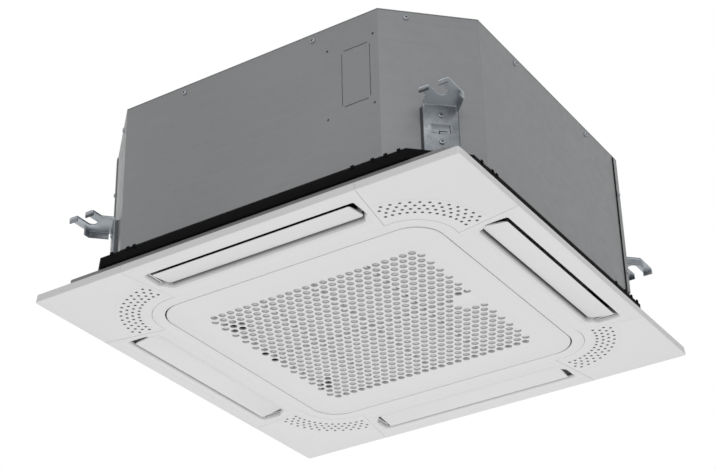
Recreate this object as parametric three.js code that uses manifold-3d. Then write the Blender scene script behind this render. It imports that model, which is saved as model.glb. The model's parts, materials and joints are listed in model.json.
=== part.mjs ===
// Ceiling cassette air conditioner, 600 size, four-way outlet, with its front panel fitted.
// Millimetres, +Z up. The origin is the middle of the panel's lower face, which hangs at z = 0.
// The front is the -Y side, and the pipes leave at the -X side.

import * as THREE from 'three';
import * as BufferGeometryUtils from 'three/addons/utils/BufferGeometryUtils.js';
import Module from 'manifold-3d';

const wasm = await Module();
wasm.setup();

// ---- clearances ----
const fit = 0.3; // between pieces that touch
const boreFit = 0.3; // round a pin, shaft or screw in its hole
const overlap = 0.5; // by which the joined features of one piece run into each other
const past = 1; // by which a cutting body runs past what it cuts

// ---- casing of the indoor unit ----
const bodyHalf = 285; // half the width across two opposite faces
const bodyChamfer = 90; // taken off each corner, along both faces
const sheet = 1.2; // galvanised sheet
const casingHeight = 214; // from the gasket to the top plate's upper face
const topFlangeDepth = 18;
const seamLap = 7; // how far the rear sheet lies over the front sheet
const seamStep = 0.6; // from the rear sheet's end to the step it takes outwards
const seamFold = 1.6; // width of that step
const seamShort = 1; // the lap stops short of both ends of the sheet
const seamInset = 3; // from the corner bend to the front sheet's end
const footTab = 46; // tabs at the casing's foot that the panel screws into
const footTabReach = 34;
const pipeHoleRoom = 8; // round the pipes in the rear sheet

// ---- front panel ----
const panelBorder = 25; // how far the panel reaches past the casing
const panelCornerRadius = 4;
const faceThickness = 2.6;
const skirtHeight = 11.5;
const skirtThickness = 2.5;
const baseThickness = 2.5; // panel's inner plate behind the corner covers
const slotOverhang = 4; // outlet slot's outer edge past the casing's face
const slotWidth = 49;
const slotInnerHalf = 147; // half length at the slot's inner edge
const slotOuterHalf = 157; // and at its outer edge
const slotRadius = 8;
const grilleBar = 35.5; // panel between an outlet slot and the grille's opening
const grilleGap = 1.1; // round the closed grille
const grilleRadius = 38.4;
const ringWidth = 17; // plain ring round the grille, up to the corner covers
const ringRadius = 56;
const coverSeamOuter = 172; // corner cover's seam, at the panel's edge
const coverSeamInner = 156.5; // and at the ring

// ---- perforation of a corner cover ----
const coverHoleRadius = 1.9;
const coverHoleRows = [17, 32.5]; // each row beyond the ring
const coverHoleStep = 21; // degrees from hole to hole
const coverHoleFirst = [3, 13.5]; // degrees

// ---- panel back frame and gasket ----
const backFrameInset = 4; // from the casing's face
const backFrameTop = 36;
const backWall = 2.5;
const flareTop = 20; // height where the duct's flared outer wall turns upright
const gasketHeight = 14.4;
const gasketChamfer = 58;
const gasketRoom = 3; // its outlets reach past the drain pan's
const openingRoom = 1.5; // the frame's centre wall stands back from the panel's opening
const backCornerRadius = 5;

// ---- louvers ----
const louverGapInner = 7;
const louverGapOuter = 6.5;
const louverEndGap = 3;
const louverThickness = 2.6;
const louverRecess = 1.6; // outer edge above the panel's face
const louverRise = 3; // from the outer edge to the inner edge
const pivotHeight = 13;
const pivotInset = 11; // from the slot's inner edge
const pivotRadius = 2.5;
const pivotArm = 3.2; // thickness of the arm that carries the pivot
const pivotArmHalf = 3.7;
const pivotBoss = 4; // radius of the arm's round end
const louverOverEnd = 1; // the blade's end past the slot's inner corner, less its gap
const louverSag = 1.3; // rise of the blade's lower face at its middle, above its outer edge
const louverTip = 1.6; // thickness left at the blade's outer edge
const motorCanRadius = 12.5;
const motorCanDepth = 18;
const motorCanRise = 7; // gear case above the shaft
const motorCanShift = 6; // gear case out from the shaft
const motorFootDepth = 10;
const motorFootIn = 3; // foot from the shaft, towards the panel's middle
const motorFootOut = 15; // and towards its edge

// ---- return grille ----
const rimInset = 39.6; // stiffening rim in from the grille's edge
const rimThickness = 2;
const rimHeight = 6.4;
const hingeInset = 35.8; // keeps the opened grille clear of the opening's round corners
const hingeHeight = 6.2;
const hingeSpacing = 110; // half the distance between the two hinges
const pinRadius = 1.2;
const hingeBossRadius = 2.8;
const hingeLug = 4;
const hingeLugFoot = 1; // a lug's foot spreads by this much on both sides
const hingeBracket = 7;
const hingeRail = 11; // rail across the opening that the hinge legs hang from
const hingeRailGap = 1.8; // from the rail to the pin's axis plane
const hingeRailDepth = 4;
const pinEnd = 1.5; // pin past its outer lug
const holePitch = 32.5;
const holeRadius = 9;
const holeRows = 11;
const holeColumns = 10;

// ---- filter, latches ----
const filterThickness = 3.6;
const filterBorder = 9;
const filterMeshThickness = 0.8;
const filterRibWidth = 4;
const filterWall = 2.5; // border where it steps round a latch
const latchSpacing = 108;
const latchWidth = 15;
const latchLength = 52;
const latchThickness = 4;
const latchTravel = 8;
const latchTipInset = 0.6; // from the grille's edge
const latchRail = 3;
const latchRoom = 1.5;
const latchRailStart = 8; // from the latch's inner end
const latchRailLength = 22;
const latchLip = 1.5;
const latchGripLength = 6;
const latchGripHalf = 4;
const latchGripRise = 3;

// ---- hanging brackets ----
const boltStandOff = 32.5; // hanging bolt from the chamfered face
const boltShift = 4.2; // hanging bolt from the middle of the chamfer
const hangerShift = 8; // plate from the middle of the chamfer
const hangerWidth = 43;
const hangerProud = 6; // plate's face from the casing
const hangerThickness = 2.4;
const hookUnderside = 127; // height of the hook above the panel's face
const hangerFoot = 55;
const boltSlot = 13; // open slot for an M10 bolt
const prongWidth = 13.5;
const prongReach = 23; // prongs past the bolt's axis
const hookLip = 8; // turned-down tips and side
const hangerBend = 4; // room that the bends at the hook's root take
const tabWidth = 14;
const tabProud = 1;
const tabLow = 86;
const tabHigh = 101;

// ---- drain pan and bell mouth ----
const panHeight = 41;
const outletWidth = 30;
const linerThickness = 9;
const linerTopThickness = 12;
const linerTopHole = 98;
const troughDepth = 12;
const troughRoom = 3; // round the coil's foot
const sumpRoom = 33; // round the drain pump's axis
const sumpEnd = 14; // past the float's axis
const screwWell = 4; // room in the pan past the panel screws' ends
const throatRadius = 108;
const bellFlangeRadius = 168;
const bellFlangeThickness = 2.5;
const bellWall = 2.5;
const bellFlare = 26; // radius of the bell's flared mouth
const bellRise = 50;
const bellSteps = 4;
const serviceFit = 0.8; // round pipes, gland and drain where they pass the foam

// ---- coil and pipes ----
const coilGap = 10; // from the outlet passage to the coil
const coilDepth = 36;
const coilRadius = 60;
const coilHeight = 158;
const coilEnd = 118; // where the loop stops on both sides of the pipe corner
const tubePlateThickness = 1.5;
const tubePlateOver = 2;
const gasPipeRadius = 6.35;
const liquidPipeRadius = 3.2;
const pipeReach = 20; // past the casing's face
const pipeSpacing = 40;
const pipeHeight = 196;
const pipeFromCoil = 24; // from the coil's end to the row of pipes
const pipeStraight = 6; // out of the coil's end, before the bend
const pipeBendShort = 3; // how the bend rounds its corner
const pipeBendLong = 14;
const pipeRunStart = 30; // where the straight run to the casing begins
const gasNutAcrossFlats = 24;
const liquidNutAcrossFlats = 17;
const nutLength = 17;
const nutPast = 3; // nut past the pipe's end
const pipePlateThickness = 1.2;
const pipePlateHalf = 30;
const pipePlateBelow = 16; // plate below the liquid pipe's axis
const pipePlateAbove = 22; // and above the gas pipe's

// ---- fan and motor ----
const fanRadius = 146;
const fanHubRadius = 84;
const fanFloor = 102;
const fanRoof = 205;
const fanShell = 2.5;
const fanBlades = 7;
const bladeThickness = 2.6;
const bladeSweep = 34; // degrees
const hubPlateHeight = 166;
const hubBossRadius = 13;
const hubBossLength = 22;
const hubSlope = 12; // the hub's wall leans out by this much over its height
const hubWall = 3;
const bladeRoot = 4; // blades start this far inside the hub's rim
const bladeInset = 0.5; // and stop short of the fan's rim
const bladeSteps = 5;
const eyeGap = 5; // from the bell's throat to the fan's eye
const eyeCollar = 6;
const shroudStep = 4; // the shroud widens by this much
const shroudRise = 8; // over this height, and rises as much again to its rim
const shaftBelowHub = 12;
const shaftInMotor = 8; // shaft's end below the motor's top
const fanNutRadius = 10;
const fanNutHeight = 8;
const shaftRadius = 5;
const motorRadius = 62;
const motorShoulder = 8; // the can narrows by this much at both ends
const motorShoulderLow = 14; // over this height at its foot
const motorShoulderHigh = 10; // and at its top
const motorBossRadius = 20;
const motorGap = 5; // from the hub plate to the motor
const motorHeight = 62;
const motorEarReach = 14;
const motorEarThickness = 4;
const motorEarDrop = 14; // from the motor's top to the ears' underside
const motorEars = 3;
const motorEarHalf = 10;
const motorEarRoot = 6; // ear inside the can's wall
const motorEarEnd = 10; // ear past the mount's axis
const mountRadius = 9;
const mountBolt = 3;
const mountHeight = 10;
const bracketSheet = 2;
const bracketArm = 26;
const bracketHub = 30;
const bracketEnd = 16; // arm past the mount's axis
const mountHeadRadius = 6;
const mountHeadHeight = 5;

// ---- drain pump, float switch, drain outlet ----
const pumpFromLiner = 83; // pump's axis from the liner, along X and Y
const pumpRadius = 22;
const pumpHeight = 64;
const pumpLift = 6; // impeller above the pan's floor
const pumpStem = 34; // from the impeller's foot to the motor
const pumpStemRadius = 10;
const pumpCollarRadius = 16;
const pumpCollarLow = 14; // above the impeller's foot
const pumpCollarHeight = 16;
const pumpArmShift = 4; // arm to the liner, beside the pump's axis
const pumpArmWidth = 8;
const pumpArmThickness = 4;
const drainRadius = 12.5;
const drainWall = 2;
const drainHeight = 219;
const drainReach = 22;
const drainFromPump = 14; // outlet beside the pump's axis
const drainElbow = 6;
const riserRadius = 9.5;
const floatFromCoilEnd = 32;
const floatFromCoilMiddle = 10;
const floatRadius = 8;
const floatHeight = 12;
const floatTravel = 9;
const floatStop = 2; // thickness of the discs that stop the float
const floatStopRadius = 6;
const stemRadius = 2.2;
const stemFoot = 1; // above the pan's floor
const stemHead = 16; // above the upper disc
const stemArmHalf = 5;
const stemArmThickness = 4;

// ---- control box ----
const boxLength = 210;
const boxWidth = 56;
const boxDepth = 30;
const boxWall = 1.5;
const boxFromOpening = 54.5; // box's middle in from the panel's opening
const boxLip = 5; // cover's lip inside the box
const blockInset = 14; // terminal block from the box's end
const blockLength = 60;
const blockHalf = 10;
const blockHeight = 14;
const terminals = 4;
const terminalPitch = 14;
const terminalHalf = 5;
const terminalDepth = 3;
const glandRadius = 9;
const glandReach = 14;
const glandWall = 3;
const glandNutGrip = 4; // nut past the gland, and in from its end
const glandRow = 60; // cable gland from the middle, along Y, on the pipe side

// ---- panel screws ----
const panelScrewInset = 14; // in from the middle of the casing's chamfer, along X and Y
const panelScrewRadius = 2.9;
const panelScrewHead = 6.5;
const panelScrewHeadHeight = 4;
const panelScrewAccess = 11;
const panelScrewEngage = 9; // thread past the casing's foot tab

// ---- fresh-air knock-out in the front face ----
const knockoutInset = 13.1; // from the face's right end
const knockoutDrop = 44.7; // from the casing's top
const knockoutWidth = 40;
const knockoutHeight = 81.7;
const knockoutCut = 1;
const knockoutBridge = 3;

// ---- heights and widths that follow ----
const panelHalf = bodyHalf + panelBorder;
const slotOuter = bodyHalf + slotOverhang;
const slotInner = slotOuter - slotWidth;
const openingHalf = slotInner - grilleBar;
const grilleHalf = openingHalf - grilleGap;
const ringHalf = openingHalf + ringWidth - grilleGap / 2;
const baseLow = faceThickness + fit;
const baseHigh = baseLow + baseThickness;
const backHalf = bodyHalf - backFrameInset;
const backLow = baseHigh + fit;
const gasketLow = backFrameTop + fit;
const gasketTop = gasketLow + gasketHeight;
const casingLow = gasketTop + fit;
const casingTop = casingLow + casingHeight;
const topPlateLow = casingTop - sheet;
const wrapTop = topPlateLow - fit;
const shellInner = bodyHalf - sheet; // inner face of the wrapped sheets
const flangeOuter = shellInner - fit;
const linerOuter = flangeOuter - sheet - fit;
const linerInner = linerOuter - linerThickness;
const outletOuter = linerInner;
const outletInner = outletOuter - outletWidth;
const coilOuter = outletInner - coilGap;
const coilInner = coilOuter - coilDepth;
const panLow = casingLow;
const panTop = panLow + panHeight;
const troughFloor = panTop - troughDepth;
const coilLow = troughFloor + fit;
const coilTop = coilLow + coilHeight;
const linerTop = topPlateLow - fit;
const linerTopLow = linerTop - linerTopThickness;
const cornerMiddle = bodyHalf - bodyChamfer / 2; // x and y of the middle of a chamfer
const panelScrewOffset = cornerMiddle - panelScrewInset;
const knockoutRight = bodyHalf - bodyChamfer - knockoutInset;
const knockoutLeft = knockoutRight - knockoutWidth;
const knockoutHigh = casingTop - knockoutDrop;
const knockoutLow = knockoutHigh - knockoutHeight;
const coilMiddle = (coilInner + coilOuter) / 2;
const pipeRow = coilEnd + pipeFromCoil;
const pumpOffset = linerInner - pumpFromLiner;
const drainColumn = pumpOffset - drainFromPump;
const floatOffsetX = coilEnd + floatFromCoilEnd;
const floatOffsetY = coilMiddle + floatFromCoilMiddle;
const boxCentre = openingHalf - boxFromOpening; // from the middle, along Y
const hingeX = grilleHalf - hingeInset;
const rimHalf = grilleHalf - rimInset;
const filterHalf = rimHalf - rimThickness - fit;
const filterLow = faceThickness + fit;
const pivotY = slotInner + pivotInset;
const ductHalf = slotInnerHalf + louverEndGap;
const motorLow = hubPlateHeight + fanShell + motorGap;
const motorTop = motorLow + motorHeight;
const motorEarLow = motorTop - motorEarDrop;

const roundSides = 28; // facets of the large turned pieces
const root2 = Math.SQRT2;
const radians = THREE.MathUtils.degToRad;
const quarterTurns = [0, 1, 2, 3].map((turn) => turn * Math.PI / 2);
const cornerSigns = [[1, 1], [-1, 1], [-1, -1], [1, -1]];
const cornerNames = ['rear_right', 'rear_left', 'front_left', 'front_right'];
const sideNames = ['front', 'right', 'rear', 'left'];

// ---- closed bodies from plain geometry ----

function solid(geometry) {
  const bare = geometry.clone();
  bare.deleteAttribute('normal');
  bare.deleteAttribute('uv');
  const merged = BufferGeometryUtils.mergeVertices(bare, 1e-4);
  const vertProperties = merged.attributes.position.array;
  const triVerts = Uint32Array.from(merged.index.array);
  return new wasm.Manifold(new wasm.Mesh({ numProp: 3, vertProperties, triVerts }));
}

function block(x0, x1, y0, y1, z0, z1) {
  const geometry = new THREE.BoxGeometry(x1 - x0, y1 - y0, z1 - z0);
  return solid(geometry.translate((x0 + x1) / 2, (y0 + y1) / 2, (z0 + z1) / 2));
}

function prism(shape, z0, z1, curveSegments = 3) {
  const settings = { depth: z1 - z0, bevelEnabled: false, curveSegments };
  return solid(new THREE.ExtrudeGeometry(shape, settings).translate(0, 0, z0));
}

// An outline drawn in the (y, z) plane, drawn out along X.
function prismAlongX(shape, x0, x1, curveSegments = 3) {
  const settings = { depth: x1 - x0, bevelEnabled: false, curveSegments };
  const geometry = new THREE.ExtrudeGeometry(shape, settings).translate(0, 0, x0);
  const cycle = new THREE.Matrix4().set(0, 0, 1, 0, 1, 0, 0, 0, 0, 1, 0, 0, 0, 0, 0, 1);
  return solid(geometry.applyMatrix4(cycle));
}

// An outline drawn in the (x, z) plane, drawn out along Y.
function prismAlongY(shape, y0, y1, curveSegments = 3) {
  const settings = { depth: y1 - y0, bevelEnabled: false, curveSegments };
  const geometry = new THREE.ExtrudeGeometry(shape, settings);
  return solid(geometry.rotateX(Math.PI / 2).translate(0, y1, 0));
}

function rod(radius, z0, z1, x = 0, y = 0, sides = 16) {
  const geometry = new THREE.CylinderGeometry(radius, radius, z1 - z0, sides);
  return solid(geometry.rotateX(Math.PI / 2).translate(x, y, (z0 + z1) / 2));
}

function rodAlongX(radius, x0, x1, y, z, sides = 12) {
  const geometry = new THREE.CylinderGeometry(radius, radius, x1 - x0, sides);
  return solid(geometry.rotateZ(Math.PI / 2).translate((x0 + x1) / 2, y, z));
}

function rodAlongY(radius, y0, y1, x, z, sides = 10) {
  const geometry = new THREE.CylinderGeometry(radius, radius, y1 - y0, sides);
  return solid(geometry.translate(x, (y0 + y1) / 2, z));
}

// A profile of [radius, height] pairs, anticlockwise, turned about Z.
function turned(profile, sides = roundSides) {
  const points = profile.map(([radius, height]) => new THREE.Vector2(radius, height));
  return solid(new THREE.LatheGeometry(points, sides).rotateX(Math.PI / 2));
}

function pipe(radius, points, sides = 8, steps = 16) {
  const path = new THREE.CatmullRomCurve3(points.map((point) => new THREE.Vector3(...point)));
  const settings = { steps, bevelEnabled: false, extrudePath: path, curveSegments: sides / 2 };
  return solid(new THREE.ExtrudeGeometry(disc(radius), settings));
}

function joined(bodies) {
  return bodies.reduce((whole, body) => whole.add(body));
}

function cut(body, tools) {
  return tools.reduce((rest, tool) => rest.subtract(tool), body);
}

function turnedCopies(body, turns) {
  return turns.map((turn) => body.rotate([0, 0, THREE.MathUtils.radToDeg(turn)]));
}

// ---- outlines ----

function polygon(points) {
  return new THREE.Shape(points.map(([x, y]) => new THREE.Vector2(x, y)));
}

function disc(radius, x = 0, y = 0) {
  const shape = new THREE.Shape();
  shape.absarc(x, y, radius, 0, 2 * Math.PI);
  return shape;
}

function roundedSquare(half, radius) {
  const shape = new THREE.Shape();
  const centre = half - radius;
  shape.absarc(centre, centre, radius, 0, Math.PI / 2);
  shape.absarc(-centre, centre, radius, Math.PI / 2, Math.PI);
  shape.absarc(-centre, -centre, radius, Math.PI, 1.5 * Math.PI);
  shape.absarc(centre, -centre, radius, 1.5 * Math.PI, 2 * Math.PI);
  return shape;
}

// The casing's plan outline, drawn in by the given inset.
function octagon(inset = 0, chamfer = bodyChamfer) {
  const half = bodyHalf - inset;
  const corner = bodyHalf - chamfer - inset * (root2 - 1);
  return polygon([
    [half, -corner], [half, corner], [corner, half], [-corner, half],
    [-half, corner], [-half, -corner], [-corner, -half], [corner, -half],
  ]);
}

function octagonRing(outerInset, innerInset, z0, z1) {
  return prism(octagon(outerInset), z0, z1).subtract(prism(octagon(innerInset), z0 - past, z1 + past));
}

// A point by its distance from the chamfered face and along it, at the (+X, +Y) corner.
function cornerPoint(out, along) {
  return [cornerMiddle + (out + along) / root2, cornerMiddle + (out - along) / root2];
}

function strip(out0, out1, along0, along1) {
  return [
    cornerPoint(out0, along0), cornerPoint(out1, along0),
    cornerPoint(out1, along1), cornerPoint(out0, along1),
  ];
}

// An outline drawn at the (+X, +Y) corner, set at the corner with the given signs.
function cornerPrism(corners, z0, z1, sx, sy) {
  return prism(polygon(corners.map(([x, y]) => [sx * x, sy * y])), z0, z1);
}

// Outlet slot at the front: its ends slant, and its two inner corners are round.
function slotOutline() {
  const shape = new THREE.Shape();
  const slant = (slotOuterHalf - slotInnerHalf) * slotRadius / slotWidth;
  shape.moveTo(-slotOuterHalf, -slotOuter);
  shape.lineTo(slotOuterHalf, -slotOuter);
  shape.lineTo(slotInnerHalf + slant, -slotInner - slotRadius);
  shape.quadraticCurveTo(slotInnerHalf, -slotInner, slotInnerHalf - slotRadius, -slotInner);
  shape.lineTo(-slotInnerHalf + slotRadius, -slotInner);
  shape.quadraticCurveTo(-slotInnerHalf, -slotInner, -slotInnerHalf - slant, -slotInner - slotRadius);
  return shape;
}

// Corner cover at the (+X, +Y) corner. A positive grow opens the outline for its seat.
function coverOutline(grow = 0) {
  const shape = new THREE.Shape();
  const centre = ringHalf - ringRadius;
  const edge = grow > 0 ? panelHalf + past : panelHalf;
  const inner = ringHalf + fit - grow;
  const round = ringRadius + fit - grow;
  shape.moveTo(inner, coverSeamInner - grow);
  shape.lineTo(edge, coverSeamOuter - grow);
  if (grow > 0) {
    shape.lineTo(edge, edge);
  } else {
    const outerCentre = panelHalf - panelCornerRadius;
    shape.absarc(outerCentre, outerCentre, panelCornerRadius, 0, Math.PI / 2);
  }
  shape.lineTo(coverSeamOuter - grow, edge);
  shape.lineTo(coverSeamInner - grow, inner);
  shape.lineTo(centre, inner);
  shape.absarc(centre, centre, round, Math.PI / 2, 0, true);
  return shape;
}

// ---- the scene graph ----

const cassette = new THREE.Group();
cassette.name = 'ceiling_cassette';

const finishes = {
  galvanised: { color: 0x86898b, roughness: 0.45, metalness: 0.8 },
  zinc: { color: 0x9aa4b0, roughness: 0.35, metalness: 0.9 },
  whitePlastic: { color: 0xe2e2e4, roughness: 0.5, metalness: 0 },
  greyPlastic: { color: 0x646464, roughness: 0.6, metalness: 0 },
  darkPlastic: { color: 0x26282a, roughness: 0.6, metalness: 0 },
  paleFoam: { color: 0xdededb, roughness: 0.95, metalness: 0 },
  blackFoam: { color: 0x0f0f10, roughness: 0.95, metalness: 0 },
  copper: { color: 0xb5683c, roughness: 0.35, metalness: 1 },
  brass: { color: 0xb99a4a, roughness: 0.35, metalness: 1 },
  aluminiumFin: { color: 0xb4b8bb, roughness: 0.5, metalness: 0.8 },
  steel: { color: 0xa5a8aa, roughness: 0.3, metalness: 1 },
  blackSteel: { color: 0x2c2d2f, roughness: 0.5, metalness: 0.5 },
  rubber: { color: 0x18181a, roughness: 0.9, metalness: 0 },
  filterNet: { color: 0xa8aaac, roughness: 0.9, metalness: 0 },
};

function pieceGeometry(body) {
  const { vertProperties, triVerts } = body.getMesh();
  const geometry = new THREE.BufferGeometry();
  geometry.setAttribute('position', new THREE.BufferAttribute(vertProperties, 3));
  geometry.setIndex(new THREE.BufferAttribute(triVerts, 1));
  return geometry;
}

function addPiece(name, body, finish, parent = cassette) {
  const material = new THREE.MeshStandardMaterial(finishes[finish]);
  const mesh = new THREE.Mesh(pieceGeometry(body), material);
  mesh.name = name;
  parent.add(mesh);
  return mesh;
}

function sideGroup(turn) {
  const group = new THREE.Group();
  group.rotation.z = turn;
  cassette.add(group);
  return group;
}

// ---- casing ----

function addCasing() {
  const ring = octagonRing(0, sheet, casingLow, wrapTop);
  const reach = 2 * bodyHalf;
  const leftEnd = -(bodyHalf - bodyChamfer) - seamInset;
  const rightEnd = bodyHalf - bodyChamfer - seamInset;
  const low = casingLow - past;
  const high = wrapTop + past;
  const frontHalf = (gap) => joined([
    block(-reach, reach, -reach, leftEnd + gap, low, high),
    block(bodyHalf / 2, reach, -reach, rightEnd + gap, low, high),
  ]);
  const feet = footTabs();
  const footHoles = screwHoles(low, casingLow + sheet + past);
  const front = ring.intersect(frontHalf(0)).add(feet[3]).add(feet[2]);
  const rear = ring.subtract(frontHalf(fit)).add(feet[0]).add(feet[1]);
  addPiece('casing_front', cut(front, [...knockoutCuts(), ...footHoles]), 'galvanised');
  const lapped = joined([rear, ...seamLaps(leftEnd, rightEnd)]);
  addPiece('casing_rear', cut(lapped, [...serviceHoles(), ...footHoles]), 'galvanised');
  const flangeLow = casingTop - topFlangeDepth;
  const flange = octagonRing(sheet + fit, 2 * sheet + fit, flangeLow, topPlateLow + overlap);
  addPiece('top_plate', prism(octagon(), topPlateLow, casingTop).add(flange), 'galvanised');
}

// Tabs bent inwards at the foot of the four chamfers, one corner after another from (+X, +Y).
function footTabs(grow = 0) {
  const face = cornerMiddle * root2 - sheet / 2;
  const inner = face - footTabReach - grow;
  const half = footTab / 2 + grow;
  const tab = block(inner, face, -half, half, casingLow - grow, casingLow + sheet + grow);
  return turnedCopies(tab, quarterTurns.map((turn) => turn + Math.PI / 4));
}

// The rear sheet steps out over the front sheet at the right face and at the left chamfer.
function seamLaps(leftEnd, rightEnd) {
  const proud = fit + sheet;
  const half = sheet / 2;
  const low = casingLow + seamShort;
  const high = wrapTop - seamShort;
  const step = rightEnd + fit + seamStep;
  const turn = (cornerMiddle + leftEnd + fit) * root2 + seamStep;
  return [
    block(bodyHalf + fit, bodyHalf + proud, rightEnd - seamLap, step + seamFold, low, high),
    block(bodyHalf - half, bodyHalf + proud, step, step + seamFold, low, high),
    cornerPrism(strip(fit, proud, turn - seamLap, turn + seamFold), low, high, -1, -1),
    cornerPrism(strip(-half, proud, turn, turn + seamFold), low, high, -1, -1),
  ];
}

// Four cuts along a rectangle, which its corners still hold.
function knockoutCuts() {
  const half = knockoutCut / 2;
  const y0 = -bodyHalf - past;
  const y1 = -bodyHalf + sheet + past;
  const left = knockoutLeft + knockoutBridge;
  const right = knockoutRight - knockoutBridge;
  const low = knockoutLow + knockoutBridge;
  const high = knockoutHigh - knockoutBridge;
  return [
    block(left, right, y0, y1, knockoutLow - half, knockoutLow + half),
    block(left, right, y0, y1, knockoutHigh - half, knockoutHigh + half),
    block(knockoutLeft - half, knockoutLeft + half, y0, y1, low, high),
    block(knockoutRight - half, knockoutRight + half, y0, y1, low, high),
  ];
}

function screwHoles(z0, z1, radius = panelScrewRadius + boreFit) {
  return cornerSigns.map(([sx, sy]) => rod(
    radius, z0, z1, sx * panelScrewOffset, sy * panelScrewOffset, 12,
  ));
}

// Holes in the rear sheet for the pipes, the drain outlet and the cable gland.
function serviceHoles() {
  const x0 = -bodyHalf - fit - sheet - past;
  const x1 = -bodyHalf + sheet + past;
  const halfRow = gasPipeRadius + pipeHoleRoom;
  const low = pipeHeight - pipeSpacing - pipeHoleRoom;
  const high = pipeHeight + gasPipeRadius + pipeHoleRoom;
  return [
    block(x0, x1, pipeRow - halfRow, pipeRow + halfRow, low, high),
    rodAlongX(glandRadius + boreFit, x0, x1, glandRow, pipeHeight, 12),
    rodAlongY(drainRadius + boreFit, -x1, -x0, -drainColumn, drainHeight, 16),
  ];
}

// ---- hanging brackets ----

// A channel on the chamfer, bent out at its top into a hook with an open slot for the bolt.
function hanger(sx, sy) {
  const near = hangerShift - hangerWidth / 2;
  const far = hangerShift + hangerWidth / 2;
  const inside = hangerProud - hangerThickness;
  const hookTop = hookUnderside + hangerThickness;
  const lipLow = hookUnderside - hookLip;
  const channelTop = hookUnderside - hangerBend;
  const [boltX, boltY] = cornerPoint(boltStandOff, boltShift);
  const slotNear = boltX - boltSlot / 2;
  const slotFar = boltX + boltSlot / 2;
  const nearEdge = slotNear - prongWidth;
  const farEdge = slotFar + prongWidth;
  const tip = boltY + prongReach;
  const lipBack = tip - hangerThickness;
  const outAt = (x, along) => (x - cornerMiddle) * root2 - along;
  const place = (corners, z0, z1) => cornerPrism(corners, z0, z1, sx, sy);
  const hook = place([
    cornerPoint(inside, near), cornerPoint(inside, far), cornerPoint(outAt(farEdge, far), far),
    [farEdge, tip], [nearEdge, tip], cornerPoint(outAt(nearEdge, near), near),
  ], hookUnderside, hookTop);
  const channel = place([
    cornerPoint(fit, near), cornerPoint(hangerProud, near),
    cornerPoint(hangerProud, far), cornerPoint(fit, far),
    cornerPoint(fit, far - hangerThickness), cornerPoint(inside, far - hangerThickness),
    cornerPoint(inside, near + hangerThickness), cornerPoint(fit, near + hangerThickness),
  ], hangerFoot, channelTop);
  const tabNear = hangerShift - tabWidth / 2;
  const lip = (x0, x1) => place(
    [[x0, lipBack], [x1, lipBack], [x1, tip], [x0, tip]], lipLow, hookUnderside + overlap,
  );
  const mouth = [[slotNear, boltY], [slotFar, boltY], [slotFar, tip + past], [slotNear, tip + past]];
  const slot = rod(boltSlot / 2, lipLow, hookTop + past, sx * boltX, sy * boltY)
    .add(place(mouth, lipLow, hookTop + past));
  return joined([
    hook.subtract(slot),
    channel,
    place(strip(inside, hangerProud, near, far), channelTop - overlap, hookUnderside + overlap),
    lip(nearEdge, slotNear),
    lip(slotFar, farEdge),
    place(strip(hangerProud + hangerBend, outAt(farEdge, far), far - hangerThickness, far),
      lipLow, hookUnderside + overlap),
    place(strip(inside + overlap, hangerProud + tabProud, tabNear, tabNear + tabWidth), tabLow, tabHigh),
  ]);
}

function addHangers() {
  addPiece('hanger_front_right', hanger(1, -1), 'zinc');
  addPiece('hanger_front_left', hanger(-1, -1), 'zinc');
  addPiece('hanger_rear_right', hanger(1, 1), 'zinc');
  addPiece('hanger_rear_left', hanger(-1, 1), 'zinc');
}

// ---- foam liner, drain pan, bell mouth ----

function serviceRods(grow) {
  const inside = linerInner - past;
  const liquidHeight = pipeHeight - pipeSpacing;
  const drainStart = pumpOffset - drainElbow - grow;
  return [
    rodAlongX(gasPipeRadius + grow, -bodyHalf, -inside, pipeRow, pipeHeight, 12),
    rodAlongX(liquidPipeRadius + grow, -bodyHalf, -inside, pipeRow, liquidHeight, 12),
    rodAlongX(glandRadius + grow, -bodyHalf, -inside, glandRow, pipeHeight, 12),
    rodAlongY(drainRadius + grow, drainStart, bodyHalf, -drainColumn, drainHeight, 16),
  ];
}

function addFoamLiner() {
  const outer = bodyHalf - linerOuter;
  const wall = octagonRing(outer, outer + linerThickness, panTop + fit, linerTop);
  const hole = rod(linerTopHole, linerTopLow - past, linerTop + past, 0, 0, roundSides);
  const roof = prism(octagon(outer), linerTopLow, linerTop).subtract(hole);
  addPiece('foam_liner', cut(wall.add(roof), serviceRods(serviceFit)), 'paleFoam');
}

function outletBox(z0, z1) {
  return block(-ductHalf, ductHalf, -outletOuter, -outletInner, z0, z1);
}

function addDrainPan() {
  const low = panLow - past;
  const high = panTop + past;
  const outlets = turnedCopies(outletBox(low, high), quarterTurns);
  const troughOuter = roundedSquare(coilOuter + troughRoom, coilRadius + troughRoom);
  const island = roundedSquare(coilInner - troughRoom, coilRadius - coilDepth);
  const trough = prism(troughOuter, troughFloor, high)
    .subtract(prism(island, troughFloor - past, high + past));
  const sumpX = -pumpOffset - sumpRoom;
  const sump = block(sumpX, -coilEnd, pumpOffset - sumpRoom, floatOffsetY + sumpEnd, troughFloor, high);
  const flangeTop = panLow + bellFlangeThickness + fit;
  const bell = rod(bellFlangeRadius + fit, low, flangeTop, 0, 0, roundSides)
    .add(rod(throatRadius + bellFlare + bellWall + fit, panLow, high, 0, 0, roundSides));
  const screws = screwHoles(low, casingLow + panelScrewEngage + screwWell);
  const tools = [...outlets, trough, sump, bell, ...footTabs(fit), ...screws];
  addPiece('drain_pan', cut(prism(octagon(sheet + fit), panLow, panTop), tools), 'paleFoam');
}

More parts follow.
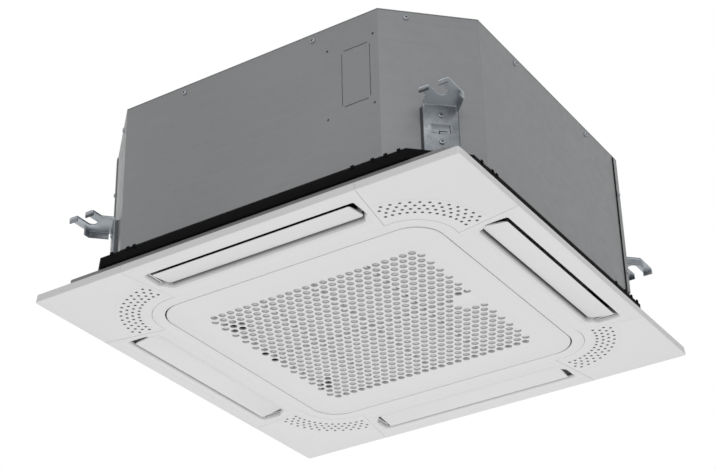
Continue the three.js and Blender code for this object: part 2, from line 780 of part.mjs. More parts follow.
// A flange under the pan, a flared mouth, and a short throat that reaches into the fan's eye.
function addBellMouth() {
  const mouth = throatRadius + bellFlare;
  const flare = (radius, foot) => Array.from({ length: bellSteps + 1 }, (_, step) => {
    const angle = step * Math.PI / 2 / bellSteps;
    return [mouth - radius * Math.sin(angle), foot + radius * (1 - Math.cos(angle))];
  });
  const flangeTop = panLow + bellFlangeThickness;
  const profile = [
    ...flare(bellFlare, panLow).reverse(),
    [bellFlangeRadius, panLow],
    [bellFlangeRadius, flangeTop],
    ...flare(bellFlare - bellWall, flangeTop),
    [throatRadius + bellWall, panLow + bellRise],
    [throatRadius, panLow + bellRise],
  ];
  addPiece('bell_mouth', turned([...profile, profile[0]]), 'darkPlastic');
}

// ---- coil and pipes ----

function addCoil() {
  const low = coilLow - past;
  const top = coilTop + past;
  const loop = prism(roundedSquare(coilOuter, coilRadius), coilLow, coilTop)
    .subtract(prism(roundedSquare(coilInner, coilRadius - coilDepth), low, top));
  const reach = 2 * bodyHalf;
  const pipeCorner = block(-reach, -coilEnd, coilEnd, reach, low, top);
  addPiece('evaporator_coil', loop.subtract(pipeCorner), 'aluminiumFin');
  const plateTop = coilTop + tubePlateOver;
  const near = coilEnd + fit;
  const back = near + tubePlateThickness;
  const inner = coilInner - tubePlateOver;
  const outer = coilOuter + tubePlateOver;
  addPiece('tube_plate_side', block(-outer, -inner, near, back, coilLow, plateTop), 'galvanised');
  addPiece('tube_plate_rear', block(-back, -near, inner, outer, coilLow, plateTop), 'galvanised');
}

function addPipes() {
  const start = coilEnd + fit + tubePlateThickness + fit;
  const column = -coilMiddle;
  const end = -bodyHalf - pipeReach;
  const liquidHeight = pipeHeight - pipeSpacing;
  const route = (z) => [
    [column, start, z],
    [column, start + pipeStraight, z],
    [column - pipeBendShort, pipeRow - pipeBendShort, z],
    [column - pipeBendLong, pipeRow, z],
    [column - pipeRunStart, pipeRow, z],
    [end, pipeRow, z],
  ];
  addPiece('gas_pipe', pipe(gasPipeRadius, route(pipeHeight)), 'copper');
  addPiece('liquid_pipe', pipe(liquidPipeRadius, route(liquidHeight)), 'copper');
  addFlareNut('gas_flare_nut', gasNutAcrossFlats, gasPipeRadius, pipeHeight);
  addFlareNut('liquid_flare_nut', liquidNutAcrossFlats, liquidPipeRadius, liquidHeight);
  addPipePlate(liquidHeight);
}

function addPipePlate(liquidHeight) {
  const x1 = -bodyHalf - fit;
  const x0 = x1 - pipePlateThickness;
  const y0 = pipeRow - pipePlateHalf;
  const y1 = pipeRow + pipePlateHalf;
  const plate = block(x0, x1, y0, y1, liquidHeight - pipePlateBelow, pipeHeight + pipePlateAbove);
  const holes = [
    rodAlongX(gasPipeRadius + boreFit, x0 - past, x1 + past, pipeRow, pipeHeight, 16),
    rodAlongX(liquidPipeRadius + boreFit, x0 - past, x1 + past, pipeRow, liquidHeight, 16),
  ];
  addPiece('pipe_cover_plate', cut(plate, holes), 'galvanised');
}

function addFlareNut(name, acrossFlats, pipeRadius, z) {
  const x0 = -bodyHalf - pipeReach - nutPast;
  const x1 = x0 + nutLength;
  const nut = rodAlongX(acrossFlats / Math.sqrt(3), x0, x1, pipeRow, z, 6);
  const bore = rodAlongX(pipeRadius + boreFit, x0 - past, x1 + past, pipeRow, z, 12);
  addPiece(name, nut.subtract(bore), 'brass');
}

// ---- fan and motor ----

function fanBlade(index) {
  const start = index * 2 * Math.PI / fanBlades;
  const inner = fanHubRadius - bladeRoot;
  const line = (offset) => Array.from({ length: bladeSteps + 1 }, (_, step) => {
    const part = step / bladeSteps;
    const radius = inner + (fanRadius - bladeInset - inner) * part;
    const angle = start + radians(bladeSweep) * part * part + offset / radius;
    return [radius * Math.cos(angle), radius * Math.sin(angle)];
  });
  const outline = [...line(-bladeThickness / 2), ...line(bladeThickness / 2).reverse()];
  return prism(polygon(outline), fanFloor, fanRoof - overlap);
}

function addFan() {
  const bore = shaftRadius + boreFit;
  const bossLow = hubPlateHeight - hubBossLength;
  const slopeFoot = fanHubRadius - hubSlope;
  const hub = turned([
    [bore, bossLow],
    [hubBossRadius, bossLow],
    [hubBossRadius, hubPlateHeight],
    [slopeFoot, hubPlateHeight],
    [fanHubRadius, fanRoof - fanShell],
    [fanRadius, fanRoof - fanShell],
    [fanRadius, fanRoof],
    [fanHubRadius - hubWall, fanRoof],
    [slopeFoot - hubWall, hubPlateHeight + fanShell],
    [bore, hubPlateHeight + fanShell],
    [bore, bossLow],
  ]);
  const eye = throatRadius + bellWall + eyeGap;
  const collarLow = fanFloor - eyeCollar;
  const stepHeight = fanFloor + shroudRise;
  const rimTop = stepHeight + shroudRise;
  const stepOuter = eye + fanShell + shroudStep;
  const shroud = turned([
    [eye, collarLow],
    [eye + fanShell, collarLow],
    [stepOuter, stepHeight],
    [fanRadius, rimTop - fanShell],
    [fanRadius, rimTop],
    [eye + fanShell, stepHeight + fanShell],
    [eye, fanFloor],
    [eye, collarLow],
  ]);
  const edge = fanRadius - bladeInset;
  const bladeRoom = turned([
    [0, stepHeight + past],
    [stepOuter, stepHeight + past],
    [edge, rimTop - past],
    [edge, fanRoof],
    [0, fanRoof],
  ]);
  const blades = Array.from({ length: fanBlades }, (_, index) => fanBlade(index).intersect(bladeRoom));
  addPiece('fan_impeller', joined([hub, shroud, ...blades]), 'whitePlastic');
  addPiece('fan_shaft', rod(shaftRadius, bossLow - shaftBelowHub, motorTop - shaftInMotor), 'steel');
  const nutTop = bossLow - fit;
  const nutLow = nutTop - fanNutHeight;
  const nut = rod(fanNutRadius, nutLow, nutTop, 0, 0, 6)
    .subtract(rod(bore, nutLow - past, nutTop + past));
  addPiece('fan_nut', nut, 'steel');
}

function earCentre(index) {
  const angle = index * 2 * Math.PI / motorEars + Math.PI / 6;
  const radius = motorRadius + motorEarReach;
  return [radius * Math.cos(angle), radius * Math.sin(angle), angle];
}

function addMotor() {
  const bore = shaftRadius + boreFit;
  const shoulder = motorRadius - motorShoulder;
  const can = turned([
    [bore, motorLow],
    [motorBossRadius, motorLow],
    [shoulder, motorLow + motorShoulderLow / 3],
    [motorRadius, motorLow + motorShoulderLow],
    [motorRadius, motorTop - motorShoulderHigh],
    [shoulder, motorTop - motorShoulderHigh / 4],
    [motorBossRadius, motorTop],
    [bore, motorTop],
    [bore, motorLow],
  ], 20);
  const earTop = motorEarLow + motorEarThickness;
  const earEnd = motorRadius + motorEarReach + motorEarEnd;
  const ear = block(motorRadius - motorEarRoot, earEnd, -motorEarHalf, motorEarHalf, motorEarLow, earTop);
  const ears = [];
  const holes = [];
  for (let index = 0; index < motorEars; index += 1) {
    const [x, y, angle] = earCentre(index);
    ears.push(ear.rotate([0, 0, THREE.MathUtils.radToDeg(angle)]));
    holes.push(rod(mountBolt + boreFit, motorEarLow - past, earTop + past, x, y, 8));
    addRubberMount(index, x, y, earTop + fit);
  }
  addPiece('fan_motor', cut(joined([can, ...ears]), holes), 'blackSteel');
  addMotorBracket(earTop + fit + mountHeight + fit);
}

function addRubberMount(index, x, y, low) {
  const pad = rod(mountRadius, low, low + mountHeight, x, y, 12);
  const bore = rod(mountBolt + boreFit, low - past, low + mountHeight + past, x, y, 8);
  addPiece(`motor_mount_${index + 1}`, pad.subtract(bore), 'rubber');
}

// Three arms over the rubber mounts, whose ends turn up to the top plate, with their bolts.
function addMotorBracket(low) {
  const reach = motorRadius + motorEarReach + bracketEnd;
  const half = bracketArm / 2;
  const top = low + bracketSheet;
  const headTop = motorEarLow - fit;
  const arm = block(0, reach, -half, half, low, top)
    .add(block(reach - bracketSheet, reach, -half, half, low, topPlateLow - fit));
  const pieces = [rod(bracketHub, low, top, 0, 0, 24)];
  for (let index = 0; index < motorEars; index += 1) {
    const [x, y, angle] = earCentre(index);
    pieces.push(arm.rotate([0, 0, THREE.MathUtils.radToDeg(angle)]));
    pieces.push(rod(mountBolt, headTop - overlap, low + overlap, x, y, 8));
    pieces.push(rod(mountHeadRadius, headTop - mountHeadHeight, headTop, x, y, 6));
  }
  addPiece('motor_bracket', joined(pieces), 'galvanised');
}

// ---- drain pump, float switch, drain outlet ----

function addDrainPump() {
  const x = -pumpOffset;
  const y = pumpOffset;
  const low = troughFloor + pumpLift;
  const collarLow = low + pumpCollarLow;
  const bodyLow = low + pumpStem;
  const bodyTop = bodyLow + pumpHeight;
  const armX = x + pumpArmShift;
  const armLow = bodyTop - pumpArmThickness;
  const pump = joined([
    rod(pumpStemRadius, low, bodyLow + overlap, x, y, 12),
    rod(pumpCollarRadius, collarLow, collarLow + pumpCollarHeight, x, y, 12),
    rod(pumpRadius, bodyLow, bodyTop, x, y, 16),
    block(armX, armX + pumpArmWidth, y, linerInner - fit, armLow, bodyTop),
  ]);
  addPiece('drain_pump', pump, 'darkPlastic');
  const outletX = -drainColumn;
  const end = bodyHalf + drainReach;
  const elbow = y + drainElbow;
  const riser = rod(riserRadius, bodyTop + fit, drainHeight, outletX, elbow, 12);
  const run = rodAlongY(drainRadius, y - drainElbow, end, outletX, drainHeight, 16);
  const bore = rodAlongY(drainRadius - drainWall, elbow, end + past, outletX, drainHeight, 16);
  addPiece('drain_outlet', riser.add(run).subtract(bore), 'darkPlastic');
}

// The float rides on a stem between two discs, and the stem's arm is screwed to the rear tube plate.
function addFloatSwitch() {
  const x = -floatOffsetX;
  const y = floatOffsetY;
  const low = troughFloor + stemFoot;
  const rest = low + floatStop + fit;
  const floatTop = rest + floatHeight;
  const stop = floatTop + floatTravel + fit;
  const top = stop + stemHead;
  const plateFace = -coilEnd - fit - tubePlateThickness - fit;
  const stem = joined([
    rod(stemRadius, low, top, x, y, 10),
    rod(floatStopRadius, low, low + floatStop, x, y, 10),
    rod(floatStopRadius, stop, stop + floatStop, x, y, 10),
    block(x - stemArmHalf, plateFace, y - stemArmHalf, y + stemArmHalf, top - stemArmThickness, top),
  ]);
  addPiece('float_switch_stem', stem, 'whitePlastic');
  const float = rod(floatRadius, rest, floatTop, x, y, 12)
    .subtract(rod(stemRadius + boreFit, rest - past, floatTop + past, x, y, 10));
  addPiece('float', float, 'whitePlastic');
}

// ---- control box ----

function addControlBox() {
  const top = panLow - fit;
  const low = top - boxDepth;
  const x = boxLength / 2;
  const y0 = boxCentre - boxWidth / 2;
  const y1 = boxCentre + boxWidth / 2;
  const ceiling = top - boxWall;
  const hollow = block(-x + boxWall, x - boxWall, y0 + boxWall, y1 - boxWall, low - past, ceiling);
  addPiece('control_box', block(-x, x, y0, y1, low, top).subtract(hollow), 'galvanised');
  const coverTop = low - fit;
  const coverLow = coverTop - boxWall;
  const inset = boxWall + fit;
  const lip = block(-x + inset, x - inset, y0 + inset, y0 + inset + boxWall, coverLow, low + boxLip);
  addPiece('control_box_cover', block(-x, x, y0, y1, coverLow, coverTop).add(lip), 'galvanised');
  addTerminalBlock(-x + blockInset, ceiling - fit);
}

function addTerminalBlock(x0, top) {
  const low = top - blockHeight;
  const x1 = x0 + blockLength;
  const body = block(x0, x1, boxCentre - blockHalf, boxCentre + blockHalf, low, top);
  const first = (x0 + x1) / 2 - terminalPitch * (terminals - 1) / 2;
  const wells = Array.from({ length: terminals }, (_, index) => {
    const x = first + index * terminalPitch;
    const y0 = boxCentre - terminalHalf;
    const y1 = boxCentre + terminalHalf;
    return block(x - terminalHalf, x + terminalHalf, y0, y1, low - past, low + terminalDepth);
  });
  addPiece('terminal_block', cut(body, wells), 'whitePlastic');
}

function addCableGland() {
  const x0 = -bodyHalf - glandReach;
  const x1 = -linerInner + past;
  const nutFace = -bodyHalf - sheet - fit;
  const gland = joined([
    rodAlongX(glandRadius, x0, x1, glandRow, pipeHeight, 12),
    rodAlongX(glandRadius + glandNutGrip, x0 + glandNutGrip, nutFace, glandRow, pipeHeight, 6),
  ]);
  const bore = rodAlongX(glandRadius - glandWall, x0 - past, x1 + past, glandRow, pipeHeight, 12);
  addPiece('cable_gland', gland.subtract(bore), 'darkPlastic');
}

// ---- gasket and panel back frame ----

function gasketOutlet(z0, z1) {
  return block(-ductHalf, ductHalf, -outletOuter - gasketRoom, -outletInner, z0, z1);
}

function addGasket() {
  const low = gasketLow - past;
  const high = gasketTop + past;
  const plate = prism(octagon(0, gasketChamfer), gasketLow, gasketTop);
  const centre = prism(roundedSquare(openingHalf + backWall, grilleRadius), low, high);
  const outlets = turnedCopies(gasketOutlet(low, high), quarterTurns);
  addPiece('panel_gasket', cut(plate, [centre, ...outlets, ...screwHoles(low, high)]), 'blackFoam');
}

// Side view of the duct's outer wall: flared at its foot, upright above.
function ductWallOutline(y0) {
  const footOuter = slotOuter + backWall;
  return polygon([
    [-y0, backLow], [-footOuter, backLow], [-backHalf, flareTop],
    [-backHalf, backFrameTop], [-y0, backFrameTop],
  ]);
}

function ductSide() {
  const wallEnd = ductHalf + backWall;
  const outside = prismAlongX(ductWallOutline(slotInner - backWall), -wallEnd, wallEnd);
  const hollow = prismAlongX(polygon([
    [-slotInner, backLow - past],
    [-slotOuter, backLow - past],
    [-slotOuter, backLow],
    [-backHalf + backWall, flareTop],
    [-backHalf + backWall, backFrameTop + past],
    [-slotInner, backFrameTop + past],
  ]), -ductHalf, ductHalf);
  return [outside, hollow];
}

// A leg that hangs from the rail down to the hinge pin.
function hingeLeg(side) {
  const y = side * hingeSpacing;
  const half = hingeBracket / 2;
  const shape = new THREE.Shape();
  shape.moveTo(hingeX - hingeBossRadius, backFrameTop);
  shape.lineTo(hingeX - hingeBossRadius, hingeHeight);
  shape.absarc(hingeX, hingeHeight, hingeBossRadius, Math.PI, 2 * Math.PI);
  shape.lineTo(hingeX + hingeBossRadius, backFrameTop);
  const bore = rodAlongY(pinRadius + boreFit, y - half - past, y + half + past, hingeX, hingeHeight, 8);
  return prismAlongY(shape, y - half, y + half).subtract(bore);
}

function hingeRailPieces() {
  const x1 = hingeX - hingeRailGap;
  const end = openingHalf + backWall;
  const low = backFrameTop - hingeRailDepth;
  return [block(x1 - hingeRail, x1, -end, end, low, backFrameTop), hingeLeg(1), hingeLeg(-1)];
}

function addBackFrame() {
  const wall = openingHalf + openingRoom;
  const wallRadius = grilleRadius + openingRoom;
  const top = backFrameTop + past;
  const underRoof = backFrameTop - backWall;
  const centre = prism(roundedSquare(wall, wallRadius), backLow - past, top);
  const inside = roundedSquare(backHalf - backWall, backCornerRadius - backWall);
  const shell = prism(roundedSquare(backHalf, backCornerRadius), backLow, backFrameTop)
    .subtract(prism(inside, backLow - past, underRoof))
    .add(prism(roundedSquare(wall + backWall, wallRadius + backWall), backLow, backFrameTop));
  const [ductOutside, ductHollow] = ductSide();
  const outsides = turnedCopies(ductOutside, quarterTurns);
  const hollows = turnedCopies(ductHollow, quarterTurns);
  const boreEnd = ductHalf + backWall + past;
  const pivotBore = rodAlongX(pivotRadius + boreFit, -boreEnd, boreEnd, -pivotY, pivotHeight, 8);
  const bores = turnedCopies(pivotBore, quarterTurns);
  const screws = screwHoles(underRoof - past, top);
  const body = cut(joined([shell, ...outsides]), [centre, ...hollows, ...bores, ...screws]);
  addPiece('panel_back_frame', joined([body, ...hingeRailPieces()]), 'greyPlastic');
}

// ---- panel frame and corner covers ----

function addPanelFrame() {
  const high = skirtHeight + past;
  const top = baseHigh + past;
  const inner = panelHalf - skirtThickness;
  const innerRadius = panelCornerRadius - skirtThickness;
  const skirt = prism(roundedSquare(panelHalf, panelCornerRadius), 0, skirtHeight)
    .subtract(prism(roundedSquare(inner, innerRadius), faceThickness, high));
  const covers = turnedCopies(prism(coverOutline(fit), -past, high), quarterTurns);
  const base = prism(roundedSquare(inner - fit, innerRadius), faceThickness - overlap, baseHigh);
  const baseRoom = turnedCopies(prism(coverOutline(fit), -past, baseLow), quarterTurns);
  const access = screwHoles(-past, top, panelScrewAccess);
  const slots = turnedCopies(prism(slotOutline(), -past, top), quarterTurns);
  const opening = prism(roundedSquare(openingHalf, grilleRadius + grilleGap), -past, top);
  const frame = cut(skirt, covers).add(cut(base, baseRoom));
  addPiece('panel_frame', cut(frame, [...slots, opening, ...access]), 'whitePlastic');
}

function coverHoles() {
  const centre = ringHalf - ringRadius;
  const holes = [];
  coverHoleRows.forEach((beyond, row) => {
    const radius = ringRadius + beyond;
    for (let angle = coverHoleFirst[row]; angle < 90; angle += coverHoleStep) {
      const x = centre + radius * Math.cos(radians(angle));
      const y = centre + radius * Math.sin(radians(angle));
      holes.push(rod(coverHoleRadius, -past, faceThickness + past, x, y, 6));
    }
  });
  return holes;
}

function cornerCover() {
  const plate = prism(coverOutline(), 0, faceThickness);
  const inner = panelHalf - skirtThickness;
  const wall = prism(coverOutline(), 0, skirtHeight)
    .subtract(block(0, inner, 0, inner, -past, skirtHeight + past));
  return cut(plate.add(wall), coverHoles());
}

function addCornerCovers() {
  const cover = cornerCover();
  quarterTurns.forEach((turn, index) => {
    addPiece(`corner_cover_${cornerNames[index]}`, cover, 'whitePlastic', sideGroup(turn));
  });
}

// ---- louvers ----

function louver() {
  const outer = slotOuter - louverGapOuter;
  const inner = slotInner + louverGapInner;
  const middle = (outer + inner) / 2;
  const innerLow = louverRecess + louverRise;
  const shape = new THREE.Shape();
  shape.moveTo(-outer, louverRecess);
  shape.quadraticCurveTo(-middle, louverRecess + louverSag, -inner, innerLow);
  shape.lineTo(-inner, innerLow + louverThickness);
  const upperSag = louverRecess + louverThickness + louverSag;
  shape.quadraticCurveTo(-middle, upperSag, -outer, louverRecess + louverTip);
  const half = slotInnerHalf - louverEndGap + louverOverEnd;
  const blade = prismAlongX(shape, -half, half, 4);
  const arm = (x0, x1) => joined([
    block(x0, x1, -pivotY - pivotArmHalf, -pivotY + pivotArmHalf, innerLow, pivotHeight),
    rodAlongX(pivotBoss, x0, x1, -pivotY, pivotHeight, 8),
  ]);
  const stub = half + louverEndGap + backWall;
  return joined([
    blade, arm(-half, -half + pivotArm), arm(half - pivotArm, half),
    rodAlongX(pivotRadius, -stub, -half + overlap, -pivotY, pivotHeight, 8),
    rodAlongX(pivotRadius, half - overlap, stub, -pivotY, pivotHeight, 8),
  ]);
}

// A flat can outside the duct's end wall, with its shaft boss in line with the louver's pivot.
function louverMotor() {
  const x0 = ductHalf + backWall + fit;
  const z = pivotHeight + motorCanRise;
  const footLow = z - motorCanRadius;
  const footHigh = z + motorCanRadius;
  const footOuter = -pivotY - motorFootOut;
  return joined([
    rodAlongX(motorCanRadius, x0, x0 + motorCanDepth, -pivotY - motorCanShift, z, 20),
    block(x0, x0 + motorFootDepth, footOuter, -pivotY + motorFootIn, footLow, footHigh),
  ]);
}

function addLouvers() {
  const blade = louver();
  const motor = louverMotor();
  quarterTurns.forEach((turn, index) => {
    const group = sideGroup(turn);
    addPiece(`louver_${sideNames[index]}`, blade, 'whitePlastic', group);
    addPiece(`louver_motor_${sideNames[index]}`, motor, 'darkPlastic', group);
  });
}

// ---- return grille, filter, latches, hinge pins ----

function grilleHoles() {
  const rise = holePitch * Math.sqrt(3) / 2;
  const holes = [];
  for (let row = 0; row < holeRows; row += 1) {
    const shifted = row % 2 === 1;
    const count = shifted ? holeColumns - 1 : holeColumns;
    for (let column = 0; column < count; column += 1) {
      const x = (column - (count - 1) / 2) * holePitch;
      const y = (row - (holeRows - 1) / 2) * rise;
      holes.push(rod(holeRadius, -past, faceThickness + past, x, y, 6));
    }
  }
  return holes;
}

function grilleLug(y) {
  const foot = faceThickness - overlap;
  const shape = new THREE.Shape();
  shape.moveTo(hingeX - hingeBossRadius - hingeLugFoot, foot);
  shape.lineTo(hingeX + hingeBossRadius + hingeLugFoot, foot);
  shape.lineTo(hingeX + hingeBossRadius, hingeHeight);
  shape.absarc(hingeX, hingeHeight, hingeBossRadius, 0, Math.PI);
  return prismAlongY(shape, y - hingeLug / 2, y + hingeLug / 2, 4)
    .subtract(rodAlongY(pinRadius + boreFit, y - hingeLug, y + hingeLug, hingeX, hingeHeight, 8));
}

function grilleLugs() {
  const beside = (hingeBracket + hingeLug) / 2 + fit;
  return [-1, 1].flatMap((side) => [
    grilleLug(side * hingeSpacing - beside), grilleLug(side * hingeSpacing + beside),
  ]);
}

// Two lipped rails that hold a latch down on the grille.
function latchRails(side) {
  const y = side * latchSpacing;
  const x1 = -grilleHalf + latchTipInset + latchLength - latchRailStart;
  const x0 = x1 - latchRailLength;
  const top = faceThickness + fit + latchThickness + fit;
  return [-1, 1].flatMap((edge) => {
    const lip = y + edge * (latchWidth / 2 + fit);
    const wall = lip + edge * latchRail / 2;
    return [
      block(x0, x1, wall - latchRail / 2, wall + latchRail / 2, faceThickness - overlap, top + latchLip),
      block(x0, x1, lip - latchRail, lip + latchRail, top, top + latchLip),
    ];
  });
}

function addGrille() {
  const plate = cut(prism(roundedSquare(grilleHalf, grilleRadius), 0, faceThickness), grilleHoles());
  const rimTop = faceThickness + rimHeight;
  const top = rimTop + past;
  const inner = filterHalf + fit;
  const rim = block(-rimHalf, rimHalf, -rimHalf, rimHalf, faceThickness - overlap, rimTop)
    .subtract(block(-inner, inner, -inner, inner, 0, top));
  const half = latchWidth / 2 + fit + latchRail + latchRoom;
  const gaps = [-1, 1].map((side) => {
    const y = side * latchSpacing;
    return block(-grilleHalf, -filterHalf + past, y - half, y + half, faceThickness, top);
  });
  const pieces = [plate, cut(rim, gaps), ...grilleLugs(), ...latchRails(-1), ...latchRails(1)];
  addPiece('return_grille', joined(pieces), 'whitePlastic');
}

// Room for the two latches and their travel, which the filter steps round.
function latchRooms(margin, z0, z1) {
  const x1 = -grilleHalf + latchTipInset + latchLength + latchTravel + latchRoom + margin;
  const half = latchWidth / 2 + fit + latchRail + latchRoom + margin;
  return [-1, 1].map((side) => block(
    -filterHalf, x1, side * latchSpacing - half, side * latchSpacing + half, z0, z1,
  ));
}

function addFilter() {
  const top = filterLow + filterThickness;
  const ribTop = top - filterMeshThickness - 2 * fit;
  const inner = filterHalf - filterBorder;
  const ribEnd = inner + overlap;
  const ribHalf = filterRibWidth / 2;
  const border = block(-filterHalf, filterHalf, -filterHalf, filterHalf, filterLow, top)
    .subtract(block(-inner, inner, -inner, inner, filterLow - past, top + past));
  const ribs = [-1, 0, 1].map((rib) => {
    const x = rib * filterHalf / 2;
    return block(x - ribHalf, x + ribHalf, -ribEnd, ribEnd, filterLow, ribTop);
  });
  const cross = block(-ribEnd, ribEnd, -ribHalf, ribHalf, filterLow, ribTop);
  const rooms = latchRooms(0, filterLow - past, top + past);
  const walls = joined(latchRooms(filterWall, filterLow, top));
  addPiece('filter_frame', cut(joined([border, ...ribs, cross, walls]), rooms), 'greyPlastic');
  const netLow = ribTop + fit;
  const edge = inner - fit;
  const net = block(-edge, edge, -edge, edge, netLow, netLow + filterMeshThickness);
  const netRooms = latchRooms(filterWall + fit, netLow - past, top + past);
  addPiece('filter_mesh', cut(net, netRooms), 'filterNet');
}

function addLatches() {
  const x0 = -grilleHalf + latchTipInset;
  const x1 = x0 + latchLength;
  const low = faceThickness + fit;
  const top = low + latchThickness;
  const half = latchWidth / 2;
  [-1, 1].forEach((side) => {
    const y = side * latchSpacing;
    const gripY0 = y - latchGripHalf;
    const gripY1 = y + latchGripHalf;
    const slide = block(x0, x1, y - half, y + half, low, top)
      .add(block(x1 - latchGripLength, x1, gripY0, gripY1, low, top + latchGripRise));
    addPiece(side < 0 ? 'grille_latch_front' : 'grille_latch_rear', slide, 'whitePlastic');
  });
}

function addHingePins() {
  const half = hingeBracket / 2 + fit + hingeLug + pinEnd;
  [-1, 1].forEach((side) => {
    const y = side * hingeSpacing;
    const pin = rodAlongY(pinRadius, y - half, y + half, hingeX, hingeHeight, 8);
    addPiece(side < 0 ? 'hinge_pin_front' : 'hinge_pin_rear', pin, 'steel');
  });
}

// ---- panel screws ----

function addPanelScrews() {
  const at = panelScrewOffset;
  const headTop = backFrameTop - backWall - fit;
  const head = rod(panelScrewHead, headTop - panelScrewHeadHeight, headTop, at, at, 6);
  const thread = rod(panelScrewRadius, headTop - overlap, casingLow + panelScrewEngage, at, at, 12);
  quarterTurns.forEach((turn, index) => {
    addPiece(`panel_screw_${cornerNames[index]}`, head.add(thread), 'steel', sideGroup(turn));
  });
}

addCasing();
addHangers();
addFoamLiner();
addDrainPan();
addBellMouth();
addCoil();
addPipes();
addFan();
addMotor();
addDrainPump();
addFloatSwitch();
addControlBox();
addCableGland();
addGasket();
addBackFrame();
addPanelFrame();
addCornerCovers();
addLouvers();
addGrille();
addFilter();
addLatches();
addHingePins();
addPanelScrews();

export default cassette;
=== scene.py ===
import json
import math

import bmesh
import bpy
from mathutils import Matrix, Vector
from mathutils.geometry import delaunay_2d_cdt


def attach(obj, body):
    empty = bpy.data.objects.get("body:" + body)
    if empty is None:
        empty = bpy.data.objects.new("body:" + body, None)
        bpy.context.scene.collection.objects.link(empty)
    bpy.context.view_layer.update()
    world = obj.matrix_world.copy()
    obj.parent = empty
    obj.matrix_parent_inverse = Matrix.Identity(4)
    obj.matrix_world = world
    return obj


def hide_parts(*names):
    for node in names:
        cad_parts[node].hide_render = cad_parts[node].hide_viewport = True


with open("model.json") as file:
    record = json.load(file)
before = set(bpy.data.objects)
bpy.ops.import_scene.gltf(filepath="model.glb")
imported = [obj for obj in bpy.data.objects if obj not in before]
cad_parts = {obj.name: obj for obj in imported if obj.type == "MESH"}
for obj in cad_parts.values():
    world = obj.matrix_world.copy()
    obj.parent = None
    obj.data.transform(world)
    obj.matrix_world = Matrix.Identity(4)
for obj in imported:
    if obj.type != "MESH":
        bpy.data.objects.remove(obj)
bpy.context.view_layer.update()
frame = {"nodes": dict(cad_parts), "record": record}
mm = 0.001
root2 = math.sqrt(2)
print("frame loaded,", len(frame["nodes"]), "nodes")


# one socket of a shader, on which sums are written as plain expressions
class Wire:
    def __init__(self, shader, socket):
        self.shader = shader
        self.socket = socket

    def math(self, operation, *values):
        return self.shader.node("Math", {"operation": operation}, dict(enumerate(values)))

    def __add__(self, other):
        return self.math("ADD", self, other)

    def __radd__(self, other):
        return self.math("ADD", other, self)

    def __sub__(self, other):
        return self.math("SUBTRACT", self, other)

    def __rsub__(self, other):
        return self.math("SUBTRACT", other, self)

    def __mul__(self, other):
        return self.math("MULTIPLY", self, other)

    def __rmul__(self, other):
        return self.math("MULTIPLY", other, self)

    def __pow__(self, other):
        return self.math("POWER", self, other)

    def __abs__(self):
        return self.math("ABSOLUTE", self)

    def sine(self):
        return self.math("SINE", self)

    def highest(self, other):
        return self.math("MAXIMUM", self, other)

    def lowest(self, other):
        return self.math("MINIMUM", self, other)


# the nodes of a material or of the world
class NodeTree:
    def __init__(self, owner):
        owner.use_nodes = True
        self.owner = owner
        self.tree = owner.node_tree
        self.tree.nodes.clear()

    # any node: its type, its settings, then the values or wires of its sockets
    def node(self, kind, settings=None, inputs=None, output=0):
        made = self.tree.nodes.new("ShaderNode" + kind)
        for key, value in (settings or {}).items():
            setattr(made, key, value)
        for key, value in (inputs or {}).items():
            if isinstance(value, Wire):
                self.tree.links.new(value.socket, made.inputs[key])
            else:
                made.inputs[key].default_value = value
        return Wire(self, made.outputs[output]) if made.outputs else None


class Shader(NodeTree):
    def __init__(self, name):
        super().__init__(bpy.data.materials.new(name))
        self.place = self.node("TexCoord", output="Object")

    # the place on the object: x, y and z, in metres
    def parts(self):
        split = self.node("SeparateXYZ", None, {0: self.place})
        return [Wire(self, output) for output in split.socket.node.outputs]

    def noise(self, scale, detail=2.0, roughness=0.5, vector=None):
        values = {"Vector": vector or self.place, "Scale": scale, "Detail": detail, "Roughness": roughness}
        return self.node("TexNoise", None, values, "Fac")

    def cells(self, scale, output="Distance"):
        return self.node("TexVoronoi", None, {"Vector": self.place, "Scale": scale}, output)

    # a value brought from one range to another, clamped
    def remap(self, value, low, high, newLow=0.0, newHigh=1.0):
        inputs = {"Value": value, "From Min": low, "From Max": high, "To Min": newLow, "To Max": newHigh}
        return self.node("MapRange", {"clamp": True}, inputs)

    # masks along a length, with their limits in millimetres
    def rising(self, value, start, end):
        return self.remap(value, start * mm, end * mm)

    def falling(self, value, start, end):
        return self.remap(value, start * mm, end * mm, 1, 0)

    def line(self, value, centre, inner, outer):
        return self.falling(abs(value - centre * mm), inner, outer)

    def band(self, value, centre, half):
        return self.line(value, centre, half * 0.85, half * 1.15)

    def mix(self, factor, first, second):
        inputs = {0: factor, 6: colour4(first), 7: colour4(second)}
        return self.node("Mix", {"data_type": "RGBA"}, inputs, 2)

    def bump(self, height, depth):
        return self.node("Bump", None, {"Height": height, "Distance": depth * mm, "Strength": 1.0})

    def finish(self, tint, rough, relief=None, metallic=0.0, specular=0.5, glow=0.0):
        values = {"Base Color": colour4(tint), "Roughness": rough, "Metallic": metallic,
                  "Specular IOR Level": specular, "Emission Strength": glow}
        if relief:
            values["Normal"] = relief
        if glow:
            values["Emission Color"] = (1, 1, 1, 1)
        surface = self.node("BsdfPrincipled", None, values)
        self.node("OutputMaterial", None, {"Surface": surface})
        return self.owner


def colour4(value):
    return (*value, 1) if isinstance(value, tuple) and len(value) == 3 else value


def tinted(colour, factor):
    return tuple(min(1.0, part * factor) for part in colour)


# how far a place lies from the middle, along the axis where it is far and the one where it is near
def farAndNear(x, y):
    return abs(x).highest(abs(y)), abs(x).lowest(abs(y))


# the distance in the plan from the nearest of four centres on the diagonals
def fromCorner(x, y, centre):
    return ((abs(x) - centre * mm) ** 2 + (abs(y) - centre * mm) ** 2) ** 0.5


